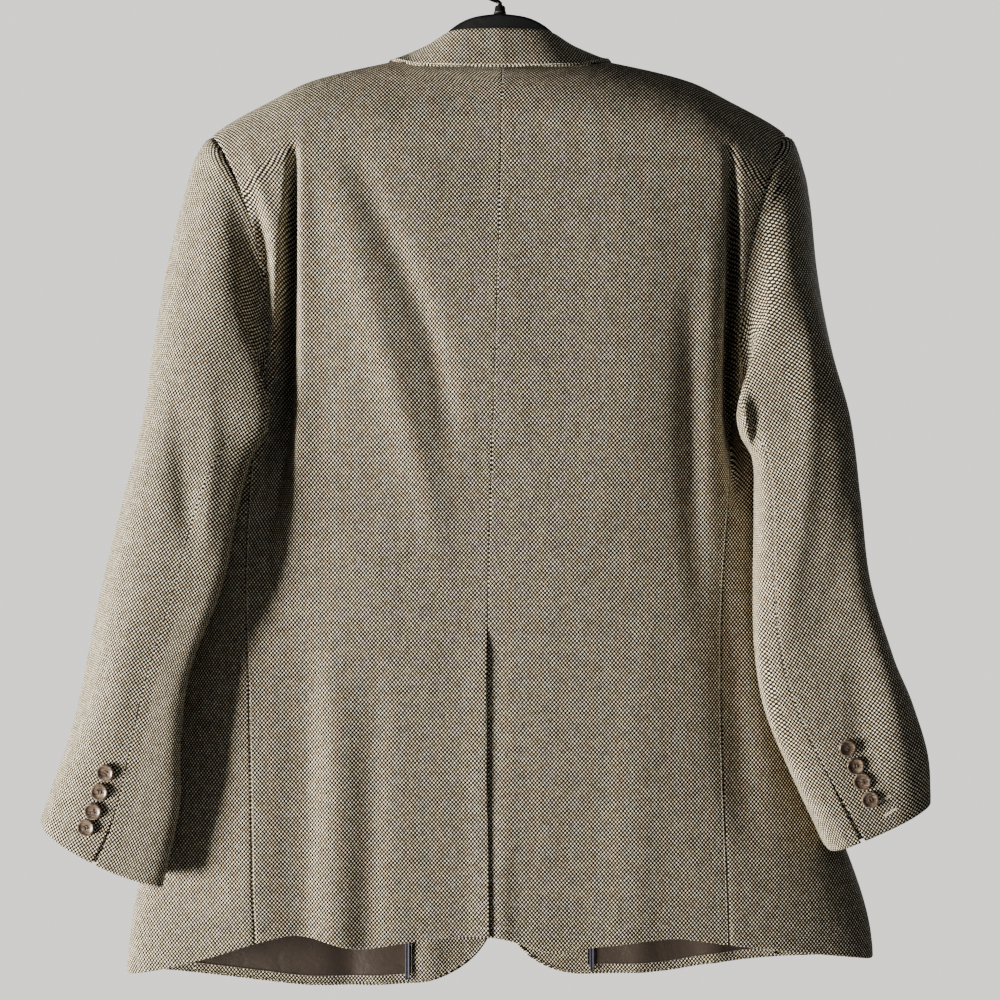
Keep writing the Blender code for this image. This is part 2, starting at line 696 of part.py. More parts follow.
def button(name, place, normal, diameter, height):
    """A flat round button with a rolled rim."""
    mesh = bmesh.new()
    radius = diameter / 2 * MM
    bmesh.ops.create_cone(mesh, cap_ends=True, segments=16, radius1=radius, radius2=radius, depth=height * MM)
    data = bpy.data.meshes.new(name)
    mesh.to_mesh(data)
    mesh.free()
    data.shade_smooth()
    data.materials.append(horn)
    made = bpy.data.objects.new(name, data)
    jacket.objects.link(made)
    made.location = place + normal * (height / 2 + BUTTON_GAP) * MM
    made.rotation_euler = normal.to_track_quat("Z", "Y").to_euler()
    bevel = made.modifiers.new("rim", "BEVEL")
    bevel.width = height * 0.3 * MM
    bevel.segments = 1
    bevel.limit_method = "ANGLE"


def beside_slit(side, along, aside=0):
    """A point of the line on which the cuff buttons are sewn, or so many degrees beside it."""
    return sleeve_point(side, hind(side, along) - degrees(CUFF_BUTTON_INSET / SLEEVE_RADIUS) + aside, along)


def cuff_place(side, distance):
    """Where on the sleeve a button is sewn, a distance above the cuff's edge, and the way it faces."""
    along, walked = 1.0, 0.0
    step = 0.004
    while walked < distance * MM:
        walked += (beside_slit(side, along) - beside_slit(side, along - step)).length
        along -= step
    ahead = beside_slit(side, along + step) - beside_slit(side, along - step)
    around = beside_slit(side, along, 4) - beside_slit(side, along, -4)
    normal = ahead.cross(around).normalized()
    if normal.y < 0:
        normal.negate()
    return beside_slit(side, along), normal


for side, name in ((LEFT, "left"), (RIGHT, "right")):
    for index in range(4):
        place, normal = cuff_place(side, CUFF_BUTTON_FIRST + CUFF_BUTTON_STEP * index)
        button(f"cuff_button_{name}_{index + 1}", place, normal, CUFF_BUTTON, CUFF_BUTTON_HEIGHT)

for index, drop in enumerate(FRONT_BUTTON_DROPS):
    place = on_body(FRONT, FRONT_BUTTON_X, drop)
    normal = (lifted(FRONT, FRONT_BUTTON_X, drop, 1) - place).normalized()
    button(f"front_button_{index + 1}", place, normal, FRONT_BUTTON, FRONT_BUTTON_HEIGHT)


# ---------------------------------------------------------------- hanger

HANGER_DEPTH = 12
HANGER_GAP = 2.8     # the arms' upper edge below the shoulder line's outer face
Arm = namedtuple("Arm", "x top height")
HUMP = [Arm(0, 54, 42), Arm(25, 58, 40), Arm(42, 67, 34), Arm(54, 80, 26), Arm(64, 95, 20), Arm(76, 100, 19)]
ARM_END = 212
ARM_END_HEIGHT = 12


def hanger_face(s, t):
    """The hanger seen from behind: s from tip to tip, t from its upper to its lower edge."""
    x = mix(-ARM_END, ARM_END, s)
    row = read(HUMP, abs(x))
    share = min(max((abs(x) - HUMP[-1].x) / (ARM_END - HUMP[-1].x), 0), 1)
    top = row.top if share == 0 else ridge(x) + HANGER_GAP
    height = row.height if share == 0 else mix(HUMP[-1].height, ARM_END_HEIGHT, share)
    return Vector((x, HANGER_DEPTH / 2, -top - height * t)) * MM


def hanger():
    arm = [mix(0, 0.5 - HUMP[-1].x / ARM_END / 2, share) for share in even(7)]
    hump = [mix(arm[-1], 0.5, share) for share in even(7)]
    half = arm + hump[1:]
    across = half + [1 - share for share in reversed(half[:-1])]
    made = cloth("hanger", hanger_face, across, even(1), HANGER_DEPTH, plastic, Vector((0, -1, -0.1)))
    bevel = made.modifiers.new("round", "BEVEL")
    bevel.width = 2.5 * MM
    bevel.segments = 1
    bevel.limit_method = "ANGLE"
    bevel.angle_limit = radians(50)


hanger()

FERRULE_TOP = 47
FERRULE_RADIUS = 5.5
FERRULE_TAPER = 0.8
PLASTIC_GAP = 0.3    # between the hanger, its ferrule and the wire


def ferrule():
    """The short tapered neck into which the hook is pressed."""
    foot = HUMP[0].top - PLASTIC_GAP
    mesh = bmesh.new()
    bmesh.ops.create_cone(mesh, cap_ends=True, segments=20, radius1=FERRULE_RADIUS * MM,
                          radius2=FERRULE_RADIUS * FERRULE_TAPER * MM, depth=(foot - FERRULE_TOP) * MM)
    data = bpy.data.meshes.new("hanger_ferrule")
    mesh.to_mesh(data)
    mesh.free()
    data.materials.append(plastic)
    made = bpy.data.objects.new("hanger_ferrule", data)
    made.location = Vector((0, 0, -(foot + FERRULE_TOP) / 2)) * MM
    jacket.objects.link(made)


ferrule()

HOOK_RADIUS = 22     # of the wire's middle line
WIRE_RADIUS = 2
HOOK_START = -62     # degrees round the bend where the wire comes in, and where it ends past the top
HOOK_END = 205


def hook():
    """The wire: up out of the ferrule, aside, and round over the top. Places are (x, height)."""
    stem = [(0, PLASTIC_GAP - FERRULE_TOP), (0, -44.5), (2.5, -42.4), (6, -41.2)]
    bend = [radians(mix(HOOK_START, HOOK_END, share)) for share in even(22)]
    route = stem + [(HOOK_RADIUS * cos(turn), HOOK_RADIUS * (sin(turn) - 1) + WIRE_RADIUS) for turn in bend]
    curve = bpy.data.curves.new("hanger_hook", "CURVE")
    curve.dimensions = "3D"
    curve.bevel_depth = WIRE_RADIUS * MM
    curve.bevel_resolution = 2
    curve.use_fill_caps = True
    spline = curve.splines.new("POLY")
    spline.points.add(len(route) - 1)
    for point, (x, z) in zip(spline.points, route):
        point.co = (x * MM, 0, z * MM, 1)
    curve.materials.append(wire)
    jacket.objects.link(bpy.data.objects.new("hanger_hook", curve))


hook()
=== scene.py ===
from collections import namedtuple
from functools import partial
from math import acos, atan2, cos, degrees, exp, pi, radians, sin, sqrt

import bmesh
import bpy
import numpy as np
from mathutils import Matrix, Vector, noise


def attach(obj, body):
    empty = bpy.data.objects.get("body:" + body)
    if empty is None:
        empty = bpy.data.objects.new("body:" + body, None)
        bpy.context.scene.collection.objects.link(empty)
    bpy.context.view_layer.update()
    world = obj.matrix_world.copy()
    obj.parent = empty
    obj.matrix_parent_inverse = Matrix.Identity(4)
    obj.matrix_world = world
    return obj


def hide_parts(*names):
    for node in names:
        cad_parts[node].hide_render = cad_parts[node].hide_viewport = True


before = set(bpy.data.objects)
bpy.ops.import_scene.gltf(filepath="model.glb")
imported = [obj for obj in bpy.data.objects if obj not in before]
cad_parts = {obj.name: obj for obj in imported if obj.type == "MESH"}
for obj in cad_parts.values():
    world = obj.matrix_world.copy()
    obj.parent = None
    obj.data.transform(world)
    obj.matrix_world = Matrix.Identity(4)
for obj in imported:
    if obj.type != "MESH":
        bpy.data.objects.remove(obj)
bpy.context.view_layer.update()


# ---------------------------------------------------------------- the room
# A pale floor and a pale, dim room. A broad soft lamp stands on the wearer's left, low and a little behind
# the back; the others are weak. All lamps are softboxes.

def linear(code):
    """A colour from its sRGB hex code, as linear light."""
    parts = [int(code[at:at + 2], 16) / 255 for at in (1, 3, 5)]
    lit = [part / 12.92 if part <= 0.04045 else ((part + 0.055) / 1.055) ** 2.4 for part in parts]
    return (*lit, 1)


def add(material, kind, inputs=None, **settings):
    """Adds a node: an input is a value, or an output to link it to; settings are the node's own."""
    made = material.node_tree.nodes.new(kind)
    for name, value in settings.items():
        setattr(made, name, value)
    for key, value in (inputs or {}).items():
        if isinstance(value, bpy.types.NodeSocket):
            material.node_tree.links.new(value, made.inputs[key])
        else:
            made.inputs[key].default_value = value
    return made


def surface_of(name, roughness, **inputs):
    """A material and its shader, with the shader's constant inputs set."""
    material = bpy.data.materials.new(name)
    material.use_nodes = True
    shader = material.node_tree.nodes["Principled BSDF"]
    shader.inputs["Roughness"].default_value = roughness
    for key, value in inputs.items():
        shader.inputs[key.replace("_", " ")].default_value = value
    return material, shader


def link(material, shader, **outputs):
    for key, output in outputs.items():
        material.node_tree.links.new(output, shader.inputs[key.replace("_", " ")])


def noisy(material, scale, detail, **inputs):
    """A noise between 0 and 1, about 0.5."""
    inputs.update(Scale=scale, Detail=detail)
    return add(material, "ShaderNodeTexNoise", inputs).outputs["Fac"]


def ranged(material, value, start, end, low, high, **settings):
    """The value, brought from start and end to low and high."""
    inputs = {"Value": value, "From Min": start, "From Max": end, "To Min": low, "To Max": high}
    return add(material, "ShaderNodeMapRange", inputs, **settings).outputs["Result"]


def blend(material, share, low, high, **settings):
    """A colour between low and high."""
    inputs = {"Factor": share, "A": low, "B": high}
    return add(material, "ShaderNodeMix", inputs, data_type="RGBA", **settings).outputs["Result"]


# Sealed concrete, pale grey: matt, with a faint cloudiness.
concrete, shader = surface_of("sealed_pale_concrete", 0.85)
tone = ranged(concrete, noisy(concrete, 9.0, 5.0), 0, 1, 0.94, 1.06)
link(concrete, shader, Base_Color=blend(concrete, 1.0, linear("#CFCDC9"), tone, blend_type="MULTIPLY"))


def placed(name, data):
    made = bpy.data.objects.new(name, data)
    bpy.context.scene.collection.objects.link(made)
    return made


FLOOR_DROP = 1.6         # the hook hangs this far above the floor
FLOOR_HALF = 2.2
mesh = bmesh.new()
bmesh.ops.create_grid(mesh, x_segments=1, y_segments=1, size=FLOOR_HALF,
                      matrix=Matrix.Translation((0, 0, -FLOOR_DROP)))
data = bpy.data.meshes.new("floor")
mesh.to_mesh(data)
mesh.free()
data.materials.append(concrete)
floor = placed("floor", data)

AIM = Vector((0, 0, -0.483))    # the middle of the jacket
for name, place, size, power in (
    ("key", (4.6, 1.6, -1.7), 1.9, 1420),
    ("fill", (-0.6, 2.8, 0.3), 1.2, 10),
    ("front_left", (1.5, -1.9, 0.2), 1.0, 22),
    ("front_right", (-1.5, -1.9, 0.2), 1.0, 18),
):
    lamp = bpy.data.lights.new(name, "AREA")
    lamp.size = size
    lamp.energy = power
    lamp.color = (1.0, 0.96, 0.88) if name == "key" else (0.88, 0.94, 1.0)
    made = placed(name, lamp)
    made.location = place
    made.rotation_euler = (Vector(place) - AIM).to_track_quat("Z", "Y").to_euler()

# The room looks pale to the camera, and sheds little light.
world = bpy.data.worlds.new("pale_room")
bpy.context.scene.world = world
world.use_nodes = True
ground = world.node_tree.nodes["Background"]
ground.inputs["Color"].default_value = linear("#D8D6D3")
path = add(world, "ShaderNodeLightPath")
link(world, ground, Strength=ranged(world, path.outputs["Is Camera Ray"], 0, 1, 0.05, 1.9))

# The camera stands behind the jacket, level, and sees 860 mm in the plane of the back.
CAMERA_AWAY = 1.5        # from the plane of the back
BACK_PLANE = 0.04        # how far behind the hook that plane lies
VIEW_WIDTH = 0.86
camera = bpy.data.cameras.new("camera")
camera.sensor_width = 36
camera.lens = camera.sensor_width * CAMERA_AWAY / VIEW_WIDTH
eye = placed("camera", camera)
eye.location = (0, CAMERA_AWAY + BACK_PLANE, AIM.z)
eye.rotation_euler = (radians(90), 0, radians(180))
bpy.context.scene.camera = eye


# ---------------------------------------------------------------- hanger
# A black polystyrene hanger, moulded in one with a flat hump at the neck, and a short moulded ferrule on it.
# The hook is a bent steel wire set in the ferrule.

MM = 0.001               # sizes from here on are in millimetres; a drop is measured down from the hook


def table(columns, *rows):
    """A table with named columns, its rows in the order of the first one."""
    row = namedtuple("Row", columns)
    return [row(*values) for values in rows]


def read(rows, at):
    """A row of a table at any key: a smooth curve through every column."""
    at = min(max(at, rows[0][0]), rows[-1][0])
    index = min(sum(row[0] <= at for row in rows), len(rows) - 1) - 1
    before, start = rows[max(index - 1, 0)], rows[index]
    end, after = rows[index + 1], rows[min(index + 2, len(rows) - 1)]
    span = end[0] - start[0]
    t = (at - start[0]) / span
    rise, leave_share, arrive_share = 3 * t**2 - 2 * t**3, t**3 - 2 * t**2 + t, t**3 - t**2
    lead, lag = span / (end[0] - before[0]), span / (after[0] - start[0])
    values = [a + (b - a) * rise + (b - z) * lead * leave_share + (c - a) * lag * arrive_share
              for z, a, b, c in zip(before[1:], start[1:], end[1:], after[1:])]
    return type(start)(at, *values)


def mix(start, end, t):
    return start + (end - start) * t


def even(count):
    return [index / count for index in range(count + 1)]


# The shoulder line, from the middle of the neck out.
SHOULDER = table(
    "x drop",
    (0, 88), (60, 93), (100, 99), (166, 115), (203, 133), (237, 151), (254, 163), (270, 176),
)


def ridge(x):
    return read(SHOULDER, abs(x)).drop


HANGER_DEPTH = 12
HANGER_GAP = 2.8         # the arms' upper edge below the shoulder line's outer face
HUMP = table(
    "x top height",
    (0, 54, 42), (25, 58, 40), (42, 67, 34), (54, 80, 26), (64, 95, 20), (76, 100, 19),
)
ARM_END = 212
ARM_END_HEIGHT = 12
FERRULE_TOP = 47
FERRULE_RADIUS = 5.5
PLASTIC_GAP = 0.3
HOOK_RADIUS = 22         # of the wire's middle line
WIRE_RADIUS = 2
HOOK_START = -62         # degrees round the bend where the wire comes in, and where it ends
HOOK_END = 205
RIM = 3.2                # the rounding of the arms' edges


def bumpy(material, height, strength, distance):
    inputs = {"Height": height, "Strength": strength, "Distance": distance}
    return add(material, "ShaderNodeBump", inputs).outputs["Normal"]


# Moulded polystyrene, near black: a satin face with fine moulding grain and a few handling scuffs.
plastic, shader = surface_of("moulded_polystyrene_black", 0.5, IOR=1.5)
place = add(plastic, "ShaderNodeTexCoord").outputs["Object"]
scuffs = noisy(plastic, 90.0, 6.0, Vector=place, Distortion=1.5)
grain = noisy(plastic, 1400.0, 2.0, Vector=place)
link(plastic, shader, Base_Color=blend(plastic, scuffs, linear("#050505"), linear("#0D0C0B")),
     Roughness=ranged(plastic, scuffs, 0.35, 0.75, 0.44, 0.66), Normal=bumpy(plastic, grain, 0.25, 0.0002))

# Drawn steel wire, blackened: dark and satin, with fine draw lines.
wire, shader = surface_of("drawn_steel_wire_blackened", 0.35, Metallic=1.0)
place = add(wire, "ShaderNodeTexCoord").outputs["Object"]
shader.inputs["Base Color"].default_value = linear("#201F1E")
link(wire, shader, Roughness=ranged(wire, noisy(wire, 700.0, 3.0, Vector=place), 0, 1, 0.2, 0.42))


def finished(name, mesh, finish, node):
    """Makes a piece of a mesh, which stands for one or more CAD nodes."""
    data = bpy.data.meshes.new(name)
    mesh.to_mesh(data)
    mesh.free()
    data.shade_smooth()
    data.materials.append(finish)
    made = placed(name, data)
    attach(made, "root")
    if node:
        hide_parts(node)
    return made


def hanger_at(x, t):
    """Middle plane of the hanger: t from its upper to its lower edge."""
    row = read(HUMP, abs(x))
    share = min(max((abs(x) - HUMP[-1].x) / (ARM_END - HUMP[-1].x), 0), 1)
    top = row.top if share == 0 else ridge(x) + HANGER_GAP
    height = row.height if share == 0 else mix(HUMP[-1].height, ARM_END_HEIGHT, share)
    return Vector((x, 0, -top - height * t)) * MM


mesh = bmesh.new()
bmesh.ops.create_grid(mesh, x_segments=96, y_segments=4, size=0.5)
half_depth = Vector((0, HANGER_DEPTH / 2, 0)) * MM
for vertex in mesh.verts:
    vertex.co = hanger_at(vertex.co.x * 2 * ARM_END, 0.5 - vertex.co.y) + half_depth
mesh.normal_update()
if sum(face.normal.y for face in mesh.faces) < 0:
    bmesh.ops.reverse_faces(mesh, faces=mesh.faces)
bmesh.ops.solidify(mesh, geom=mesh.faces[:], thickness=HANGER_DEPTH * MM)
bmesh.ops.recalc_face_normals(mesh, faces=mesh.faces)
rim = [line for line in mesh.edges if line.calc_face_angle(0) > radians(50)]
bmesh.ops.bevel(mesh, geom=rim, offset=RIM * MM, offset_type="OFFSET", affect="EDGES", segments=4,
                profile=0.5, material=-1)
finished("moulded_hanger", mesh, plastic, "hanger")


def lathed(profile, steps, fuse):
    """A turned solid from half its outline, which starts and ends on the axis."""
    mesh = bmesh.new()
    points = [mesh.verts.new((x, 0, z)) for x, z in profile]
    lines = [mesh.edges.new(pair) for pair in zip(points, points[1:])]
    bmesh.ops.spin(mesh, geom=points + lines, cent=(0, 0, 0), axis=(0, 0, 1), angle=2 * pi, steps=steps,
                   use_merge=True)
    bmesh.ops.remove_doubles(mesh, verts=mesh.verts, dist=fuse)
    bmesh.ops.recalc_face_normals(mesh, faces=mesh.faces)
    return mesh


foot = HUMP[0].top - PLASTIC_GAP
profile = [
    (0, -foot), (FERRULE_RADIUS, -foot), (FERRULE_RADIUS, -foot + 1.2), (FERRULE_RADIUS - 0.5, -foot + 1.8),
    (FERRULE_RADIUS * 0.82, -FERRULE_TOP - 0.8), (FERRULE_RADIUS * 0.7, -FERRULE_TOP), (0, -FERRULE_TOP),
]
mesh = lathed([(x * MM, z * MM) for x, z in profile], 40, 1e-6)
finished("hanger_neck", mesh, plastic, "hanger_ferrule")

curve = bpy.data.curves.new("hook_wire", "CURVE")
curve.dimensions = "3D"
curve.bevel_depth = WIRE_RADIUS * MM
curve.bevel_resolution = 6
curve.use_fill_caps = True
route = [(0, PLASTIC_GAP - FERRULE_TOP), (0, -44.5), (2.5, -42.4), (6, -41.2)]
route += [(HOOK_RADIUS * cos(turn), HOOK_RADIUS * (sin(turn) - 1) + WIRE_RADIUS)
          for turn in (radians(mix(HOOK_START, HOOK_END, share)) for share in even(48))]
spline = curve.splines.new("POLY")
spline.points.add(len(route) - 1)
for point, (x, z) in zip(spline.points, route):
    point.co = (x * MM, 0, z * MM, 1)
curve.materials.append(wire)
hook = placed("bent_hook", curve)
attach(hook, "root")
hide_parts("hanger_hook")


# ---------------------------------------------------------------- back
# Two halves of woollen nailhead tweed, joined by the centre back seam and pressed open. The left half
# laps over the right one at the vent. The cloth is 1.6 mm thick with its interlining.

LEFT, RIGHT = 1, -1      # the wearer's; +X and -X
SIDES = ((LEFT, "left"), (RIGHT, "right"))
BACK, FRONT = 1, -1      # +Y and -Y

# Level sections of the body: half widths, and the depth of the back, of the side line and of the front.
BODY = table(
    "drop left right back side front",
    (80, 290, 290, 62, -14, -62),
    (170, 285, 285, 64, -18, -68),
    (250, 250, 254, 67, -26, -74),
    (330, 232, 236, 66, -34, -78),
    (400, 229, 231, 62, -42, -80),
    (480, 249, 242, 56, -47, -78),
    (570, 271, 248, 51, -48, -72),
    (655, 292, 262, 47, -46, -66),
    (730, 304, 282, 44, -41, -60),
    (800, 318, 312, 41, -34, -54),
    (860, 329, 330, 38, -28, -48),
    (920, 334, 334, 36, -25, -45),
)
SQUARE = 3.2             # how square the sections are: 2 is an ellipse

SHOULDER_ROLL = 70       # how far below the shoulder line the cloth has rolled over
NECK_HALF = 84           # from the middle to where the shoulder seam starts
NECK_DIP = 18            # the back neck below the shoulder line

# Where the back and the front end: at the armhole down to PITCH, and at the side seams below it.
EDGES = table(
    "drop back_left back_right front_left front_right",
    (163, 254, 251, 254, 251),
    (182, 242, 241, 240, 238),
    (206, 229, 232, 222, 224),
    (240, 215, 222, 208, 212),
    (280, 206, 213, 200, 204),
    (340, 200, 208, 198, 200),
    (400, 208, 206, 200, 196),
    (470, 218, 199, 202, 190),
    (550, 221, 193, 204, 186),
    (640, 217, 191, 204, 186),
    (730, 215, 193, 202, 187),
    (830, 213, 197, 200, 188),
    (920, 209, 200, 198, 190),
)
ARMHOLE_TOP = 163

# The centre back seam leans a little to the wearer's left; the vent opens at its foot.
CENTRE = table("drop x", (90, -3), (300, 2), (613, 11), (870, 9))
VENT_TOP = 613
VENT_UNDERLAP = 42
VENT_STEP = 1.5          # the lap lies this much out, and the underlap this much in

# How low the hem hangs, across the jacket from the wearer's right to the wearer's left.
HEM = table(
    "x back front",
    (-340, 890, 890), (-300, 882, 894), (-250, 875, 897), (-192, 867, 903), (-150, 862, 910),
    (-90, 868, 913), (-42, 873, 914), (0, 861, 916), (47, 861, 919), (87, 866, 922), (120, 871, 924),
    (176, 860, 923), (210, 867, 919), (250, 880, 914), (300, 894, 908), (340, 904, 904),
)
HEM_DROP = 900


def crease(*rows):
    """A crease down its length: where it lies, how deep a trough or high a ridge it is there, and how wide
    it is towards the middle of the jacket and away from it."""
    return table("drop x depth inner outer", *rows)


BACK_CREASES = [
    # the deep drape fold beside the left shoulder blade, and the edges that stand up on each side of it
    crease((178, 174, 0, 3, 4), (205, 176, -16, 3.4, 4), (250, 178, -44, 3.8, 5), (312, 180, -54, 4.5, 7),
           (400, 185, -54, 6, 9), (460, 193, -40, 10, 14), (515, 201, -14, 14, 22), (590, 206, 0, 20, 22)),
    crease((150, 168, 0, 8, 5), (230, 168, 2.5, 9, 5), (400, 170, 3, 12, 6), (500, 176, 0, 12, 8)),
    crease((160, 222, 0, 7, 6), (215, 205, 2, 7, 6), (255, 194, 2.5, 7, 6), (320, 194, 2, 7, 6),
           (360, 197, 0, 7, 6)),
    crease((228, 209, 0, 4, 4), (262, 203, -8, 4, 4), (300, 200, -8, 4, 4), (332, 199, 0, 4, 4)),
    # the soft diagonal drape from the left shoulder towards the waist
    crease((170, 128, 0, 10, 12), (230, 106, -3, 11, 14), (340, 60, -4, 10, 14), (400, 47, -3, 9, 12),
           (450, 40, 0, 10, 12)),
    crease((170, 152, 0, 14, 14), (290, 118, 3, 16, 14), (400, 86, 4, 16, 14), (480, 62, 2.5, 16, 16),
           (560, 50, 0, 16, 16)),
    # the drape fold beside the right shoulder blade, with the soft valley inside it
    crease((178, -195, 0, 4, 4), (205, -197, -14, 3.5, 4), (261, -200, -42, 4.5, 3.6),
           (338, -200, -50, 5.5, 3.4), (400, -200, -50, 6, 4), (440, -204, -30, 8, 7),
           (500, -209, 0, 8, 12)),
    crease((230, -181, 0, 9, 7), (330, -181, 2, 10, 8), (470, -183, 1.5, 12, 8), (540, -186, 0, 12, 8)),
    crease((290, -160, 0, 8, 7), (360, -162, -4, 10, 8), (440, -163, -5.5, 10, 9), (530, -168, -3, 10, 10),
           (600, -176, 0, 10, 10)),
    # the skirt falls in long shallow waves
    crease((560, 150, 0, 14, 14), (680, 143, 3, 16, 14), (870, 140, 3.5, 16, 16), (930, 140, 3, 16, 16)),
    crease((600, 108, 0, 10, 10), (740, 110, -2.5, 12, 12), (930, 116, -4, 14, 14)),
    crease((690, 0, 0, 10, 8), (790, 0, 2, 10, 8), (930, -2, 4, 12, 10)),
    crease((520, -196, 0, 14, 10), (620, -200, -5, 16, 12), (720, -208, -5, 16, 14), (790, -222, 0, 16, 14)),
    crease((560, -120, 0, 20, 20), (720, -118, 2, 24, 20), (930, -110, 2.5, 24, 20)),
    crease((560, 200, 0, 24, 24), (640, 212, 2, 34, 26), (740, 218, 3.5, 38, 30), (820, 222, 3.5, 38, 30),
           (890, 222, 0, 34, 30)),
    crease((590, 166, 0, 12, 26), (690, 166, -3.5, 12, 26), (860, 170, -3.5, 12, 26), (920, 172, 0, 12, 26)),
    # a faint hollow under the collar
    crease((118, 60, -1, 60, 70), (135, 60, -2, 60, 70), (160, 60, 0, 60, 70)),
]


def ease(start, end, at):
    t = min(max((at - start) / (end - start), 0), 1)
    return t * t * (3 - 2 * t)


def creased(tables, x, drop):
    """The depth of the creases at a place."""
    total = 0
    for rows in tables:
        if rows[0].drop < drop < rows[-1].drop:
            row = read(rows, drop)
            aside = x - row.x
            width = row.inner if aside * row.x < 0 else row.outer
            if abs(aside) < 3 * width:
                total += row.depth * exp(-(aside / width) ** 2)
    return total


def unevenness(x, drop, seed):
    """The slight irregularity of hanging wool, a millimetre or so."""
    broad = noise.noise(Vector((x / 75, drop / 140, seed)))
    small = noise.noise(Vector((x / 24, drop / 46, seed + 9)))
    return 1.4 * broad + 0.35 * small


def half_width(side, drop):
    section = read(BODY, drop)
    return section.left if side == LEFT else section.right


def skin(side, turn, drop):
    """Outer face of the body at an angle round its level section: 90 back, 0 side, -90 front."""
    section = read(BODY, drop)
    x = side * half_width(side, drop) * max(cos(radians(turn)), 0) ** (2 / SQUARE)
    face = BACK if turn >= 0 else FRONT
    reach = (section.back if face == BACK else section.front) - section.side
    y = section.side + reach * abs(sin(radians(turn))) ** (2 / SQUARE)
    below = min(max((drop - ridge(x)) / SHOULDER_ROLL, 0), 1)
    y *= sqrt(1 - (1 - below) ** 2)
    facing = ease(0, 25, abs(turn)) * ease(0, 0.5, below)
    tables = BACK_CREASES if face == BACK else FRONT_CREASES
    y += face * facing * (creased(tables, x, drop) + unevenness(x, drop, face))
    return Vector((x, y, -drop)) * MM


def turn_at(side, face, x, drop):
    """The angle round the section at which the body is this far from the middle."""
    share = min(max(side * x / half_width(side, drop), 0), 1)
    return face * (90 - degrees(atan2(share ** (SQUARE / 2), sqrt(max(1 - share ** SQUARE, 0)))))


def on_body(face, x, drop):
    """Outer face of the back or the front at a distance from the middle."""
    side = LEFT if x >= 0 else RIGHT
    return skin(side, turn_at(side, face, x, drop), drop)


def hem(face, x):
    row = read(HEM, x)
    return row.back if face == BACK else row.front


def edge(side, face, drop):
    """How far out the back or the front reaches at a height."""
    row = read(EDGES, drop)
    if face == BACK:
        return row.back_left if side == LEFT else row.back_right
    return row.front_left if side == LEFT else row.front_right


CLOTH = 1.6              # thickness
SEAM = 0.05              # half of the gap at a seam
LAID = 0.4               # gap under a piece that lies on another
UNDER = CLOTH + LAID     # from a panel's outer face to that of a piece that lies under it
GRID = 4.2               # how far apart a panel's grid lines lie
WEFT_CELL = 1.6          # one check of the nailhead, across and down the cloth
WARP_CELL = 1.88
WANDER = 0.0014          # how far the yarns wander, in metres


def maths(material, operation, *values):
    return add(material, "ShaderNodeMath", dict(enumerate(values)), operation=operation).outputs[0]


def yarn(material, uv, cell_across, cell_down):
    """A nailhead weave: how light a place is, and a random number for each check."""
    parts = add(material, "ShaderNodeSeparateXYZ", {"Vector": uv})
    wander = add(material, "ShaderNodeTexNoise", {"Vector": uv, "Scale": 90.0, "Detail": 2.0})
    slip = add(material, "ShaderNodeSeparateColor", {"Color": wander.outputs["Color"]})
    at, waves = [], []
    for output, push, cell in ((parts.outputs["X"], slip.outputs["Red"], cell_across),
                               (parts.outputs["Y"], slip.outputs["Green"], cell_down)):
        pushed = maths(material, "MULTIPLY_ADD", push, WANDER, output)
        count = maths(material, "MULTIPLY", pushed, 1 / (cell * MM))
        waves.append(maths(material, "SINE", maths(material, "MULTIPLY", count, pi)))
        at.append(maths(material, "FLOOR", count))
    cell = add(material, "ShaderNodeCombineXYZ", {"X": at[0], "Y": at[1]})
    random = add(material, "ShaderNodeTexWhiteNoise", {"Vector": cell.outputs[0]}, noise_dimensions="2D")
    return maths(material, "MULTIPLY", *waves), random.outputs["Value"]


# Nailhead tweed: cream and dark brown woollen yarns two by two, so that small checks alternate. Each check
# is a soft dome of yarn; the wool is matt with a slight bloom, and no two checks are quite alike.
tweed, shader = surface_of("nailhead_woollen_tweed", 0.92, Sheen_Weight=0.08, Sheen_Roughness=0.45,
                           Specular_IOR_Level=0.15)
uv = add(tweed, "ShaderNodeUVMap", uv_map="cloth").outputs["UV"]
check, random = yarn(tweed, uv, WEFT_CELL, WARP_CELL)
light = ranged(tweed, check, 0.2, 0.5, 0, 1, interpolation_type="SMOOTHSTEP")
cream = blend(tweed, random, linear("#FFF7DE"), linear("#CCBC9A"))
brown = blend(tweed, random, linear("#0B0704"), linear("#22170E"))
mottle = ranged(tweed, noisy(tweed, 70.0, 3.0, Vector=uv), 0.3, 0.7, 0.88, 1.12)
dyed = blend(tweed, 1.0, blend(tweed, light, brown, cream), mottle, blend_type="MULTIPLY")
fuzz = noisy(tweed, 1500.0, 2.0, Vector=uv)
height = maths(tweed, "MULTIPLY_ADD", fuzz, 0.5, maths(tweed, "ABSOLUTE", check))
link(tweed, shader, Base_Color=dyed, Normal=bumpy(tweed, height, 0.5, 0.0004))
shader.inputs["Sheen Tint"].default_value = linear("#D9CDB8")


def spaced(length, step=GRID, dense=()):
    """Shares of a length where a grid's lines lie: close together beside both ends and where dense."""
    beside_end = (0, 0.5, 1.2, 2.2, 3.8)
    lines = [*beside_end, *(length - at for at in beside_end)]
    at = beside_end[-1] + step
    while at < length - beside_end[-1] - step / 2:
        lines.append(at)
        fine = any(low < at < high for low, high in dense)
        at += step / 3 if fine else step
    return [at / length for at in sorted(lines)]


